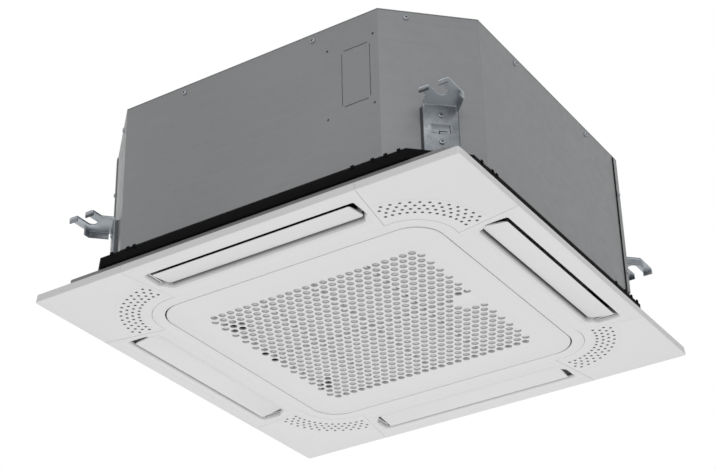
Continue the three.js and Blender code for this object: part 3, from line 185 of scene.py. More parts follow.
# spangled sheet with streaks along it, and a painted shadow line where each lap ends
galvanisedSheet = {
    "dark": (0.215, 0.219, 0.224), "pale": (0.272, 0.277, 0.282), "lap": (0.02, 0.02, 0.021),
    "spangle": 110, "haze": 3.2, "streaks": 180, "stretch": (0.06, 0.06, 1.0), "grain": 900, "relief": 0.05,
    "rough": (0.36, 0.5), "metal": 0.4, "sheen": 0.3,
    "rightLap": 184.2, "rightFace": 280, "leftLap": -82.5, "leftFace": -477.5,
}


def galvanised(name, look):
    shade = Shader(name)
    x, y = shade.parts()[:2]
    crystal = shade.node("SeparateColor", None, {0: shade.cells(look["spangle"], "Color")})
    haze = shade.noise(look["haze"], 3)
    stretched = shade.node("VectorMath", {"operation": "MULTIPLY"}, {0: shade.place, 1: look["stretch"]})
    streak = shade.noise(look["streaks"], 2, vector=stretched)
    tone = shade.remap(crystal * 0.14 + haze * 0.8 + streak * 0.3, 0.3, 0.95)
    rough = shade.remap(crystal * 0.5 + haze * 0.5, 0.2, 0.8, *look["rough"])
    relief = shade.bump(shade.noise(look["grain"], 2) * 0.5 + crystal * 0.4, look["relief"])
    rightFace, leftFace = look["rightFace"], look["leftFace"]
    # painted shadow: a dark line along the edge of each lap strip
    rightLap = shade.line(y, look["rightLap"], 0.8, 1.6) * shade.rising(x, rightFace, rightFace + 1)
    leftLap = shade.line(x - y, look["leftLap"], 2.2, 3.2) * shade.falling(x + y, leftFace, leftFace + 0.5)
    body = shade.mix(tone, look["dark"], look["pale"])
    return shade.finish(shade.mix(rightLap.highest(leftLap), body, look["lap"]), rough, relief,
                        look["metal"], look["sheen"])


plastic = {
    # duct is painted shade for the inside of the ducts
    "white": (0.715, 0.708, 0.712), "grey": (0.24, 0.24, 0.241), "duct": (0.016, 0.016, 0.017),
    # frame is the filter's frame, painted paler as painted light
    "dark": (0.022, 0.023, 0.025), "frame": (0.78, 0.78, 0.785), "clouds": 9, "grain": 1500, "relief": 0.04,
}


# what every moulding shares: a faintly cloudy tint, its roughness and its grain
def skin(shade, colour, spread, rough):
    broad, grain = shade.noise(plastic["clouds"], 3), shade.noise(plastic["grain"], 2)
    tint = shade.mix(broad * 0.7 + grain * 0.3, tinted(colour, 1 - spread), tinted(colour, 1 + spread))
    return tint, shade.remap(broad, 0.3, 0.7, *rough), grain


def moulded(name, colour, rough=0.42):
    shade = Shader(name)
    tint, sheen, grain = skin(shade, colour, 0.03, (rough - 0.03, rough + 0.05))
    return shade.finish(tint, sheen, shade.bump(grain, plastic["relief"]))


def whiteSkin(shade):
    return skin(shade, plastic["white"], 0.015, (0.4, 0.47))


# the moulding behind the panel: grey outside, painted shade in its ducts, and white at the ends of each
# outlet
ducts = {"within": 278.5, "fade": 0.7, "endAt": 154.5, "endHalf": 4.5, "whiteUpTo": 17, "grain": 1100}


def ductMoulding(name):
    shade = Shader(name)
    x, y, z = shade.parts()
    far, near = farAndNear(x, y)
    grain = shade.noise(ducts["grain"], 2)
    # painted shade: near black inside the ducts
    within = shade.falling(far, ducts["within"], ducts["within"] + ducts["fade"])
    outside = shade.mix(grain, tinted(plastic["grey"], 0.93), tinted(plastic["grey"], 1.06))
    lowDown = shade.falling(z, ducts["whiteUpTo"], ducts["whiteUpTo"] + 0.5)
    ends = shade.band(near, ducts["endAt"], ducts["endHalf"]) * lowDown
    inner = shade.mix(ends, plastic["duct"], plastic["white"])
    rough = shade.remap(grain, 0.3, 0.7, 0.48, 0.56)
    return shade.finish(shade.mix(within, outside, inner), rough, shade.bump(grain, 0.05))


def foam(name, colour, cellSize, depth, specular=0.5):
    shade = Shader(name)
    cell = shade.cells(cellSize)
    fine = shade.noise(cellSize * 2.5, 3)
    tint = shade.mix(shade.remap(cell * 0.8 + fine * 0.4, 0.1, 0.9), tinted(colour, 0.75), colour)
    rough = shade.remap(fine, 0.3, 0.7, 0.86, 0.95)
    return shade.finish(tint, rough, shade.bump(cell + fine * 0.5, depth), specular=specular)


def metal(name, colour, rough, depth=0.03, metallic=0.95):
    shade = Shader(name)
    broad = shade.noise(30, 3)
    grain = shade.noise(1200, 2)
    sheen = shade.remap(broad * 0.6 + grain * 0.4, 0.3, 0.7, rough - 0.06, rough + 0.08)
    tint = shade.mix(broad, tinted(colour, 0.86), colour)
    return shade.finish(tint, sheen, shade.bump(grain, depth), metallic)


# close upright plates seen edge on, crossed by their collars, with painted shade in the gaps between the
# plates
fins = {"comb": 3900, "collars": 2100, "gap": (0.16, 0.17, 0.18), "edge": (0.62, 0.64, 0.65)}


def finned(name):
    shade = Shader(name)
    x, y, z = shade.parts()
    comb = (((x + y) * fins["comb"]).sine() + ((x - y) * fins["comb"]).sine()) * 0.25 + 0.5
    collar = (z * fins["collars"]).sine() * 0.5 + 0.5
    # painted shade: dark gaps between the plates' edges
    tint = shade.mix(comb * 0.7 + collar * 0.3, fins["gap"], fins["edge"])
    return shade.finish(tint, shade.remap(comb, 0, 1, 0.6, 0.35), shade.bump(comb, 0.4), 0.8)


# painted light: the net is near white, paler than the white mouldings, to make up for the shade it lies in
# behind the grille
net = {"weave": 2600, "strand": (0.84, 0.84, 0.85), "between": (0.95, 0.95, 0.955)}


def netting(name):
    shade = Shader(name)
    x, y = shade.parts()[:2]
    weave = (abs((x * net["weave"]).sine()) + abs((y * net["weave"]).sine())) * 0.5
    strands = shade.remap(weave, 0.35, 0.8)
    tint = shade.mix(strands, net["between"], net["strand"])
    return shade.finish(tint, shade.remap(strands, 0, 1, 0.7, 0.85), shade.bump(1 - strands, 0.1))


# by the names of the frame's material slots; zinc plate is added beside the hooks
finish = {
    "galvanised_sheet": galvanised("galvanised sheet", galvanisedSheet),
    "white_plastic": moulded("white panel", plastic["white"]),
    "grey_plastic": ductMoulding("grey moulding"),
    "dark_plastic": moulded("dark moulding", plastic["dark"], 0.45),
    "pale_foam": foam("bead foam", (0.72, 0.72, 0.70), 320, 0.4),
    "black_foam": foam("black foam", (0.0042, 0.0042, 0.0044), 900, 0.3, 0.12),
    "aluminium_fins": finned("aluminium fins"),
    "copper": metal("copper tube", (0.62, 0.27, 0.14), 0.32),
    "brass": metal("brass nut", (0.62, 0.45, 0.17), 0.3),
    "bright_steel": metal("bright steel", (0.5, 0.51, 0.53), 0.28),
    "black_steel": metal("black enamel", (0.02, 0.02, 0.022), 0.42, 0.08, 0.1),
    "black_rubber": foam("black rubber", (0.012, 0.012, 0.012), 2500, 0.06, 0.3),
    "filter_net": netting("filter net"),
}
print("finishes ready")


class Shape:
    def __init__(self):
        self.points = []
        self.faces = []
        self.smooth = []

    def add(self, points, faces, smooth=True):
        start = len(self.points)
        self.points += [Vector(point) for point in points]
        self.faces += [tuple(start + corner for corner in face) for face in faces]
        self.smooth += [smooth] * len(faces)
        return self

    def join(self, other, matrix=None):
        matrix = matrix or Matrix.Identity(4)
        start = len(self.points)
        self.points += [matrix @ point for point in other.points]
        self.faces += [tuple(start + corner for corner in face) for face in other.faces]
        self.smooth += other.smooth
        return self


def flat(u, v, w):
    return (u, v, w)


def signedArea(loop):
    return sum(a[0] * b[1] - b[0] * a[1] for a, b in zip(loop, loop[1:] + loop[:1])) / 2


# an outline walked so that its material lies on the left
def outline(loop, hole=False):
    return loop if (signedArea(loop) > 0) != hole else loop[::-1]


def moved(loop, offset):
    if not offset:
        return loop
    result = []
    for before, here, after in zip(loop[-1:] + loop[:-1], loop, loop[1:] + loop[:1]):
        first = (Vector(here) - Vector(before)).normalized()
        second = (Vector(after) - Vector(here)).normalized()
        normals = Vector((-first.y, first.x)), Vector((-second.y, second.x))
        miter = (normals[0] + normals[1]) / max(0.35, 1 + normals[0].dot(normals[1]))
        result.append((here[0] + miter.x * offset, here[1] + miter.y * offset))
    return result


def inside(point, loop):
    hit = False
    for (ax, ay), (bx, by) in zip(loop, loop[1:] + loop[:1]):
        if (ay > point[1]) != (by > point[1]):
            if point[0] < (bx - ax) * (point[1] - ay) / (by - ay) + ax:
                hit = not hit
    return hit


# triangles between an outer loop and its holes, as numbers into the joined list of points
def fill(loops, lines):
    points, edges, owner = [], [], []
    for number, loop in enumerate(loops):
        start = len(points)
        points += [Vector(point) for point in loop]
        edges += [(start + i, start + (i + 1) % len(loop)) for i in range(len(loop))]
        owner += [number] * len(loop)
    result = delaunay_2d_cdt(points, edges + list(lines), [], 0, 1e-5, True)
    source = [names[0] for names in result[3]]
    triangles = []
    for face in result[2]:
        corners = [source[i] for i in face]
        owners = {owner[i] for i in corners}
        if len(owners) == 1:
            number = owners.pop()
            middle = sum((points[i] for i in corners), Vector((0, 0))) / 3
            if inside(middle, loops[number]) == (number > 0):
                continue
        triangles.append(corners)
    return triangles


# one level of an edge: a ring of points as it stands, or an outline moved into the material
def levelRing(loop, level):
    if isinstance(level, list):
        return level
    offset, height = level
    return [(u, v, height) for u, v in moved(loop, offset)]


# a plate with holes: every loop has its own edge profile, a list of levels
def plate(loops, place=flat, lines=()):
    shape = Shape()
    points, starts, faces, walls = [], [], [], []
    for loop, profile in loops:
        starts.append(len(points))
        for level in profile:
            points += [place(*spot) for spot in levelRing(loop, level)]
        count = len(loop)
        for number in range(len(profile) - 1):
            base = starts[-1] + number * count
            for i in range(count):
                j = (i + 1) % count
                walls.append((base + i, base + j, base + count + j, base + count + i))
    for last in (False, True):
        rings = [levelRing(loop, profile[-1 if last else 0]) for loop, profile in loops]
        numbers = []
        for (loop, profile), start in zip(loops, starts):
            base = start + (len(profile) - 1) * len(loop) * last
            numbers += range(base, base + len(loop))
        for face in fill([[spot[:2] for spot in ring] for ring in rings], lines):
            corners = tuple(numbers[i] for i in face)
            faces.append(corners if last else corners[::-1])
    shape.add(points, walls)
    shape.faces += faces
    shape.smooth += [False] * len(faces)
    return shape


def edge(thickness, radius, base=0.0):
    part = 0.3 * radius
    top = base + thickness
    return [(radius, base), (part, base + part), (0, base + radius),
            (0, top - radius), (part, top - part), (radius, top)]


def arc(x, y, radius, start, end, steps):
    turns = [math.radians(start + (end - start) * step / steps) for step in range(steps + 1)]
    return [(x + radius * math.cos(turn), y + radius * math.sin(turn)) for turn in turns]


def circle(x, y, radius, sides=20):
    return arc(x, y, radius, 0, 360 - 360 / sides, sides - 1)


def roundRect(x0, x1, y0, y1, radius, steps=5):
    centres = [(x1 - radius, y1 - radius), (x0 + radius, y1 - radius),
               (x0 + radius, y0 + radius), (x1 - radius, y0 + radius)]
    loop = []
    for number, (x, y) in enumerate(centres):
        loop += arc(x, y, radius, number * 90, number * 90 + 90, steps)
    return loop


def roundSquare(half, radius, steps=8):
    return roundRect(-half, half, -half, half, radius, steps)


def softBox(x0, x1, y0, y1, z0, z1, radius=0.6):
    radius = min(radius, (x1 - x0) * 0.4, (y1 - y0) * 0.4)
    loop = roundRect(x0, x1, y0, y1, radius, 3)
    return plate([(outline(loop), edge(z1 - z0, min(radius * 0.6, (z1 - z0) * 0.4), z0))])


# a section of (offset to the left, height) drawn along an open path in the plan
def sweep(path, section):
    rows = []
    for i, here in enumerate(path):
        first = Vector(here) - Vector(path[i - 1]) if i else Vector(path[1]) - Vector(here)
        second = Vector(path[i + 1]) - Vector(here) if i < len(path) - 1 else first
        a, b = (Vector((-step.y, step.x)).normalized() for step in (first, second))
        miter = (a + b) / (1 + a.dot(b))
        rows.append([(here[0] + miter.x * offset, here[1] + miter.y * offset, height)
                     for offset, height in section])
    count = len(section)
    faces = []
    for low in range(0, (len(path) - 1) * count, count):
        high = low + count
        faces += [(low + k, high + k, high + (k + 1) % count, low + (k + 1) % count) for k in range(count)]
    shape = Shape().add([point for row in rows for point in row], faces)
    shape.add(rows[0], [tuple(range(count))], False)
    shape.add(rows[-1], [tuple(range(count - 1, -1, -1))], False)
    return shape


# a profile of (radius, height) turned about an axis, closed where the radius is nothing
def turned(profile, sides=24, matrix=None):
    points, rings = [], []
    for radius, height in profile:
        if radius == 0:
            rings.append([len(points)])
            points.append((0, 0, height))
        else:
            rings.append(list(range(len(points), len(points) + sides)))
            points += [(x, y, height) for x, y in circle(0, 0, radius, sides)]
    faces = []
    for low, high in zip(rings, rings[1:]):
        for i in range(sides):
            j = (i + 1) % sides
            corners = [low[i % len(low)], low[j % len(low)], high[j % len(high)], high[i % len(high)]]
            faces.append(tuple(dict.fromkeys(corners)))
    return Shape().join(Shape().add(points, faces), matrix)


def turnZ(degrees):
    return Matrix.Rotation(math.radians(degrees), 4, "Z")


def rotated(loop, degrees):
    turn = math.radians(degrees)
    cosine, sine = math.cos(turn), math.sin(turn)
    return [(x * cosine - y * sine, x * sine + y * cosine) for x, y in loop]


def at(x, y, z, towards=(0, 0, 1)):
    turn = Vector((0, 0, 1)).rotation_difference(Vector(towards)).to_matrix().to_4x4()
    return Matrix.Translation((x, y, z)) @ turn


sharpAngle = 38


def makePiece(name, shape, material, body, replaces=()):
    mesh = bpy.data.meshes.new(name)
    mesh.from_pydata([point * mm for point in shape.points], [], shape.faces)
    work = bmesh.new()
    work.from_mesh(mesh)
    for face, smooth in zip(work.faces, shape.smooth):
        face.smooth = smooth
    bmesh.ops.recalc_face_normals(work, faces=work.faces)
    work.to_mesh(mesh)
    work.free()
    mesh.set_sharp_from_angle(angle=math.radians(sharpAngle))
    mesh.materials.append(material)
    piece = bpy.data.objects.new(name, mesh)
    bpy.context.scene.collection.objects.link(piece)
    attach(piece, body)
    if replaces:
        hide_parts(*replaces)
    return piece


quarters = [("rear_right", 0), ("rear_left", 90), ("front_left", 180), ("front_right", 270)]
sides = [("front", 0), ("right", 90), ("rear", 180), ("left", 270)]
diagonals = {"rear_right": (1, 1), "rear_left": (-1, 1), "front_left": (-1, -1), "front_right": (1, -1)}

# the front panel, with an outlet slot along each side
panel = {
    "half": 310, "cornerRadius": 4, "skirt": 11.5, "skirtInset": 1.4, "skirtWall": 2.5, "face": 2.6,
    "baseLow": 2.9, "base": 2.5, "baseInset": 3.9, "opening": 204.5, "openingRadius": 39.5,
    "ring": 220.95, "ringRadius": 56, "seamOuter": 172, "seamInner": 156.5, "gap": 0.3,
    "slotOuter": 289, "slotInner": 240, "slotOuterHalf": 157, "slotInnerHalf": 147, "slotRadius": 8,
    "slotSmallRadius": 3, "slotSideStep": 6, "slotSideSlant": 0.35,
}
slotLip = {
    "outer": 284.4, "inner": 241.4, "rise": 5.0, "endInset": 4, "innerInset": 1.2, "wall": 1.1,
    "topOuter": 8, "topInner": 17, "topEnd": 5.4, "ductEnd": 148.6, "steps": 6,
}
# the face's relief, and the painted shade inside its slots
faceMarks = {
    "lipAt": 4.2, "lipWidth": 3.4, "lipHeight": 0.8, "ridge": (0.4, 1.6), "ridgeHeight": 0.35,
    "grainHeight": 0.07, "relief": 0.6, "shadeRise": (3, 11), "shadeFade": (1.0, 1.3),
    "shade": (0.1, 0.1, 0.101),
}


# the panel's face: a soft lip round each slot, a fine ridge round the ring, and painted shade inside the
# slots
def faceMoulding(name):
    shade = Shader(name)
    x, y, z = shade.parts()
    far, near = farAndNear(x, y)
    inner, outer, innerHalf = panel["slotInner"] * mm, panel["slotOuter"] * mm, panel["slotInnerHalf"] * mm
    slant = (panel["slotOuterHalf"] - panel["slotInnerHalf"]) / (panel["slotOuter"] - panel["slotInner"])
    pastEnd = near - innerHalf - (far - inner) * slant
    fromSlot = pastEnd.highest(abs(far - (inner + outer) / 2) - (outer - inner) / 2)
    lip = shade.line(fromSlot, faceMarks["lipAt"], 0, faceMarks["lipWidth"])
    straight = (panel["ring"] - panel["ringRadius"]) * mm
    acrossX, acrossY = (abs(x) - straight).highest(0), (abs(y) - straight).highest(0)
    ridge = shade.line((acrossX ** 2 + acrossY ** 2) ** 0.5, panel["ringRadius"], *faceMarks["ridge"])
    tint, rough, grain = whiteSkin(shade)
    fadeStart, fadeEnd = (slotLip["inner"] + past for past in faceMarks["shadeFade"])
    # painted shade: the slots' inner walls darken with height
    depth = shade.rising(z, *faceMarks["shadeRise"]) * shade.falling(far, fadeStart, fadeEnd)
    raised = lip * faceMarks["lipHeight"] + ridge * faceMarks["ridgeHeight"]
    relief = shade.bump(raised + grain * faceMarks["grainHeight"], faceMarks["relief"])
    return shade.finish(shade.mix(depth, tint, faceMarks["shade"]), rough, relief)


# a slot's outline on the face: wider at its outer side, with round inner corners
def slotLoop():
    half, inner, radius = panel["slotInnerHalf"], panel["slotInner"], panel["slotRadius"]
    outer, outerHalf, small = panel["slotOuter"], panel["slotOuterHalf"], panel["slotSmallRadius"]
    slant = (outerHalf - half) * radius / (outer - inner)
    foot = arc(outerHalf - small, -outer + small, small, -90, 0, 4)
    side = [(outerHalf - panel["slotSideSlant"] * step, -outer + small + panel["slotSideStep"] * step)
            for step in range(1, 6)]
    head = arc(half - radius + slant * 0.4, -inner - radius, radius, 0, 90, 6)
    right = foot + side + head
    return right + [(-x, y) for x, y in reversed(right)]


# the slot's lip rolls up from the face and becomes a thin wall round the louver
def slotLevels():
    face = outline(slotLoop(), True)
    lip = slotLip
    mouth, tops = [], []
    for x, y in face:
        part = (-panel["slotInner"] - y) / (panel["slotOuter"] - panel["slotInner"])
        inset = lip["innerInset"] + (lip["endInset"] - lip["innerInset"]) * part
        across = x - math.copysign(inset, x)
        mouth.append((across, -lip["inner"] - (lip["outer"] - lip["inner"]) * part))
        inDuct = abs(across) <= lip["ductEnd"]
        tops.append(lip["topInner"] + (lip["topOuter"] - lip["topInner"]) * part if inDuct else lip["topEnd"])
    levels = []
    for step in range(lip["steps"] + 1):
        turn = math.pi / 2 * step / lip["steps"]
        reach, rise = math.sin(turn), lip["rise"] * (1 - math.cos(turn))
        levels.append([(ax + (bx - ax) * reach, ay + (by - ay) * reach, rise)
                       for (ax, ay), (bx, by) in zip(face, mouth)])
    behind = moved(mouth, lip["wall"])
    levels.append([(x, y, top) for (x, y), top in zip(mouth, tops)])
    levels.append([(x, y, top) for (x, y), top in zip(behind, tops)])
    levels.append([(x, y, lip["rise"]) for x, y in behind])
    levels.append((lip["wall"], panel["face"]))
    return face, levels


# the seam round a corner cover, from the right edge of the panel to its rear edge
def seamPath(grow):
    centre = panel["ring"] - panel["ringRadius"]
    inner = panel["ring"] + panel["gap"] - grow
    start = [(panel["half"], panel["seamOuter"] - grow), (inner, panel["seamInner"] - grow)]
    bend = arc(centre, centre, inner - centre, 0, 90, 16)
    return start + bend + [(y, x) for x, y in reversed(start)]


# a section of the skirt, from its softened foot up to its rim
def skirtSection():
    top, inset, wall = panel["skirt"], panel["skirtInset"], panel["skirtWall"]
    foot = [(1.1, 0), (0.35, 0.28), (0, 1.0)]
    rim = [(inset * 0.75, top - 0.6), (inset + 0.35, top),
           (inset + wall - 0.5, top), (inset + wall - 0.15, top - 0.5)]
    return foot + rim + [(wall + 1.0, panel["face"] - 0.2), (wall + 1.0, 1.2), (3.0, 0.3)]


def turnedRing(ring, degrees):
    if not isinstance(ring, list):
        return ring
    flatRing = rotated([spot[:2] for spot in ring], degrees)
    return [(x, y, spot[2]) for (x, y), spot in zip(flatRing, ring)]


def panelFrame():
    slot, levels = slotLevels()
    holes = [(rotated(slot, turn), [turnedRing(level, turn) for level in levels]) for name, turn in sides]
    opening = roundSquare(panel["opening"], panel["openingRadius"], 12)
    holes.append((outline(opening, True), edge(panel["face"], 0.5)))
    loop = [point for name, turn in quarters for point in rotated(seamPath(panel["gap"]), turn)]
    shape = plate([(loop, [(0.35, 0), (0.1, 0.1), (0, 0.35), (0, panel["face"])])] + holes)
    ends = panel["seamOuter"] - panel["gap"] - 0.05
    for name, turn in sides:
        path = [(-ends, -panel["half"]), (ends, -panel["half"])]
        shape.join(sweep(path, skirtSection()), turnZ(turn))
    return shape


# the sheet behind the face, on which the corner covers lie
def panelBase():
    low, thick = panel["baseLow"], panel["base"]
    holes = [rotated(outline(slotLoop(), True), turn) for name, turn in sides]
    holes.append(outline(roundSquare(panel["opening"], panel["openingRadius"], 12), True))
    wall = [(1.5, low), (1.5, low + thick)]
    rim = roundSquare(panel["half"] - panel["baseInset"], 3, 4)
    return plate([(rim, edge(thick, 0.3, low))] + [(hole, wall) for hole in holes])


# the corner covers' small holes, with a dark pad behind them, a faint step beyond, and painted shade on the
# holes' walls
perforation = {
    "radius": 2.1, "rows": [(73, 3.0, 13), (81, 6.5, 12), (88.5, 3.0, 13), (96, 6.5, 12)],
    "step": 7, "centre": 165, "padAt": 84.5, "pad": (14.5, 16.5), "padTint": (0.035, 0.035, 0.036),
    "ledgeAt": 104.5, "ledge": (0.2, 1.8), "wallMiddle": 1.5, "wall": (0.9, 1.1), "wallEnds": (300, 300.5),
    "wallTint": (0.36, 0.36, 0.365),
}


def paddedBase(name):
    shade = Shader(name)
    x, y = shade.parts()[:2]
    pad = shade.line(fromCorner(x, y, perforation["centre"]), perforation["padAt"], *perforation["pad"])
    grain = shade.noise(1300, 2)
    body = shade.mix(grain, tinted(plastic["white"], 0.95), plastic["white"])
    rough = shade.remap(grain, 0.3, 0.7, 0.42, 0.5)
    tint = shade.mix(pad, body, perforation["padTint"])
    return shade.finish(tint, rough, shade.bump(grain, plastic["relief"]))


def coverMoulding(name):
    shade = Shader(name)
    x, y, z = shade.parts()
    tint, rough, grain = whiteSkin(shade)
    ledge = shade.line(fromCorner(x, y, perforation["centre"]), perforation["ledgeAt"], *perforation["ledge"])
    # painted shade: the walls of the holes are darker
    wall = shade.line(z, perforation["wallMiddle"], *perforation["wall"])
    wall = wall * shade.falling(farAndNear(x, y)[0], *perforation["wallEnds"])
    relief = shade.bump(ledge * 0.5 + grain * faceMarks["grainHeight"], faceMarks["relief"])
    return shade.finish(shade.mix(wall, tint, perforation["wallTint"]), rough, relief)


def cornerCover():
    half, radius, thick = panel["half"], panel["cornerRadius"], panel["face"]
    corner = arc(half - radius, half - radius, radius, 0, 90, 8)
    loop = [(half, panel["seamOuter"])] + corner + [(panel["seamOuter"], half)] + seamPath(0)[::-1][1:-1]
    holes = []
    for distance, first, count in perforation["rows"]:
        for number in range(count):
            turn = math.radians(first + number * perforation["step"])
            x = perforation["centre"] + distance * math.cos(turn)
            y = perforation["centre"] + distance * math.sin(turn)
            holes.append((outline(circle(x, y, perforation["radius"], 12), True), edge(thick, 0.3)))
    shape = plate([(outline(loop), [(0.9, 0), (0.25, 0.22), (0, 0.8), (0, thick)])] + holes)
    path = [(half, panel["seamOuter"] + 0.1)] + corner + [(panel["seamOuter"] + 0.1, half)]
    return shape.join(sweep(path, skirtSection()))


makePiece("panel_face", panelFrame(), faceMoulding("panel face"), "unit", ["panel_frame"])
makePiece("panel_base", panelBase(), paddedBase("panel base"), "unit", ["panel_frame"])
coverShape, coverFinish = cornerCover(), coverMoulding("corner cover")
for name, turn in quarters:
    makePiece("cover_" + name, Shape().join(coverShape, turnZ(turn)), coverFinish, "cover_" + name,
              ["corner_cover_" + name])
print("panel and corner covers made")

# the return grille, with a rim, hinge lugs and latch guides on its back
grille = {
    "half": 203.4, "radius": 40.4, "thickness": 2.6, "hole": 4.95, "pitch": 13, "rows": 27, "columns": 24,
    "rowRise": 11.26, "rim": 163.8, "rimWall": 2, "rimTop": 9.0, "bareFrom": 128, "bareRows": (12, 13, 14),
    "latchAt": 108, "latchRoom": 13.7, "lugAt": 110, "lugSpread": 5.8, "lug": (167.6, 6.2, 2.8),
    "lugWidth": 4, "guide": (-180.8, -158.8), "guideWall": 9.3, "guideLip": 7.8, "guideTop": 8.7,
    "wells": ((4, 1), (11, 0), (13, 0), (22, 1)), "well": (5.3, 2.62, 2.88),
    "wallMiddle": 1.4, "wall": (0.9, 1.1), "wallEnds": (180, 181), "wallTint": (0.42, 0.42, 0.425),
}


# painted shade on the walls of the grille's holes
def grilleMoulding(name):
    shade = Shader(name)
    x, y, z = shade.parts()
    tint, rough, grain = whiteSkin(shade)
    # painted shade: the holes' walls are darker
    wall = shade.line(z, grille["wallMiddle"], *grille["wall"]) * 0.6
    wall = wall * shade.falling(farAndNear(x, y)[0], *grille["wallEnds"])
    tint = shade.mix(wall, tint, grille["wallTint"])
    return shade.finish(tint, rough, shade.bump(grain, plastic["relief"]))


def holesInRow(row):
    return grille["columns"] + row % 2


def holeSpot(row, column):
    x = (column - (holesInRow(row) - 1) / 2) * grille["pitch"]
    return x, (row - (grille["rows"] - 1) / 2) * grille["rowRise"]


def returnGrille():
    thick = grille["thickness"]
    loops = [(outline(roundSquare(grille["half"], grille["radius"], 12)), edge(thick, 0.6))]
    for row in range(grille["rows"]):
        for column in range(holesInRow(row)):
            x, y = holeSpot(row, column)
            if row in grille["bareRows"] and x > grille["bareFrom"]:
                continue
            loops.append((outline(circle(x, y, grille["hole"], 14), True), edge(thick, 0.35)))
    shape = plate(loops)
    rim, wall, top = grille["rim"], grille["rimWall"], grille["rimTop"]
    latchAt, room, low = grille["latchAt"], grille["latchRoom"], thick - 0.3
    for side in (1, -1):
        near, far = side * rim - wall * (side > 0), side * rim + wall * (side < 0)
        shape.join(softBox(-rim, rim, near, far, low, top))
    shape.join(softBox(rim - wall, rim, -rim, rim, low, top))
    for start, end in ((-rim, -latchAt - room), (room - latchAt, latchAt - room), (latchAt + room, rim)):
        shape.join(softBox(-rim, -rim + wall, start, end, low, top))
    lugX, lugZ, lugRadius = grille["lug"]
    lug = arc(lugX, lugZ, lugRadius, 0, 180, 8) + [(lugX - 3.8, thick - 0.4), (lugX + 3.8, thick - 0.4)]
    lugEdge = edge(grille["lugWidth"], 0.4, -grille["lugWidth"] / 2)
    guideNear, guideFar = grille["guide"]
    guideTop = grille["guideTop"]
    for side in (1, -1):
        for turn in (-1, 1):
            lugY = side * grille["lugAt"] + turn * grille["lugSpread"]
            shape.join(plate([(outline(lug), lugEdge)], lambda u, v, w, y=lugY: (u, y + w, v)))
        for turn in (1, -1):
            wallY = side * latchAt + turn * grille["guideWall"]
            shape.join(softBox(guideNear, guideFar, wallY - 1.5, wallY + 1.5, low, guideTop))
            lipY = side * latchAt + turn * grille["guideLip"]
            shape.join(softBox(guideNear, guideFar, lipY - 3, lipY + 3, guideTop - 1.5, guideTop, 0.4))
    return shape


# painted shade: black mouths behind four of the holes, beside the latches and the catch
def grilleWells():
    radius, low, high = grille["well"]
    profile = [(0, low), (radius - 0.2, low), (radius, low + 0.08),
               (radius, high - 0.08), (radius - 0.2, high), (0, high)]
    shape = Shape()
    for row, column in grille["wells"]:
        shape.join(turned(profile, 20, at(*holeSpot(row, column), 0)))
    return shape


makePiece("grille_plate", returnGrille(), grilleMoulding("grille"), "grille", ["return_grille"])
# painted shade: black discs in four of the grille's holes
makePiece("grille_wells", grilleWells(), finish["black_foam"], "grille", ())
print("grille made")

# a louver's blade, with its arms, pivot stubs and ribs
vane = {
    "outer": 280.6, "inner": 244.9, "low": 1.1, "rise": 5.0, "thickness": 2.6, "half": 145, "outerRadius": 2,
    "innerRadius": 6, "pivot": 251, "pivotZ": 13, "arm": 3.2, "armRadius": 3.9, "stub": 2.45,
    "stubLength": 9.4, "ribs": 5, "ribStep": 50, "rib": 1.4,
}


def alongBlade(y):
    return (y + vane["outer"]) / (vane["outer"] - vane["inner"])


def vaneUnder(y):
    return vane["low"] + vane["rise"] * max(0.0, alongBlade(y)) ** 1.25


# the blade thins towards its outer edge
def vaneTop(y, w):
    return vaneUnder(y) + w * min(1.0, 0.4 + max(0.0, alongBlade(y)) * 3)


def vaneShape():
    half, outer, inner = vane["half"], -vane["outer"], -vane["inner"]
    small, large = vane["outerRadius"], vane["innerRadius"]
    foot = arc(half - small, outer + small, small, -90, 0, 4)
    head = arc(half - large, inner - large, large, 0, 90, 6)
    steps = 7
    span = head[0][1] - foot[-1][1]
    right = foot + [(half, foot[-1][1] + span * step / steps) for step in range(1, steps)] + head
    loop = right + [(-x, y) for x, y in reversed(right)]
    lines = [(i, len(loop) - 1 - i) for i in range(1, len(right) - 1)]
    shape = plate([(loop, edge(vane["thickness"], 0.6))], lambda u, v, w: (u, v, vaneTop(v, w)), lines)
    pivot, height = -vane["pivot"], vane["pivotZ"]
    stub, length = vane["stub"], vane["stubLength"]
    stubProfile = [(0, 0), (stub, 0), (stub, length - 0.4), (stub - 0.45, length), (0, length)]
    for side in (1, -1):
        arm = [(pivot - 4, vaneUnder(pivot) + 2), (pivot + 3.4, vaneUnder(pivot) + 2.4)]
        arm += arc(pivot, height, vane["armRadius"], 20, 160, 8)
        low = side * half - side * 3 - (vane["arm"] if side > 0 else 0)
        shape.join(plate([(outline(arm), edge(vane["arm"], 0.4, low))], lambda u, v, w: (w, u, v)))
        shape.join(turned(stubProfile, 16, at(side * (half - 4), pivot, height, (side, 0, 0))))
    rib = [(outer + 10, vaneUnder(outer + 10) + 2.4), (inner - 3, vaneUnder(inner - 3) + 2.4),
           (inner - 3, vaneUnder(inner) + 5), (inner - 8, vaneUnder(inner) + 5)]
    for number in range(vane["ribs"]):
        x = (number - (vane["ribs"] - 1) / 2) * vane["ribStep"]
        ribEdge = edge(vane["rib"], 0.2, x - vane["rib"] / 2)
        shape.join(plate([(outline(rib), ribEdge)], lambda u, v, w: (w, u, v)))
    return shape


vaneMade = vaneShape()
for name, turn in sides:
    makePiece("vane_" + name, Shape().join(vaneMade, turnZ(turn)), finish["white_plastic"], "vane_" + name,
              ["louver_" + name])
print("louvers made")

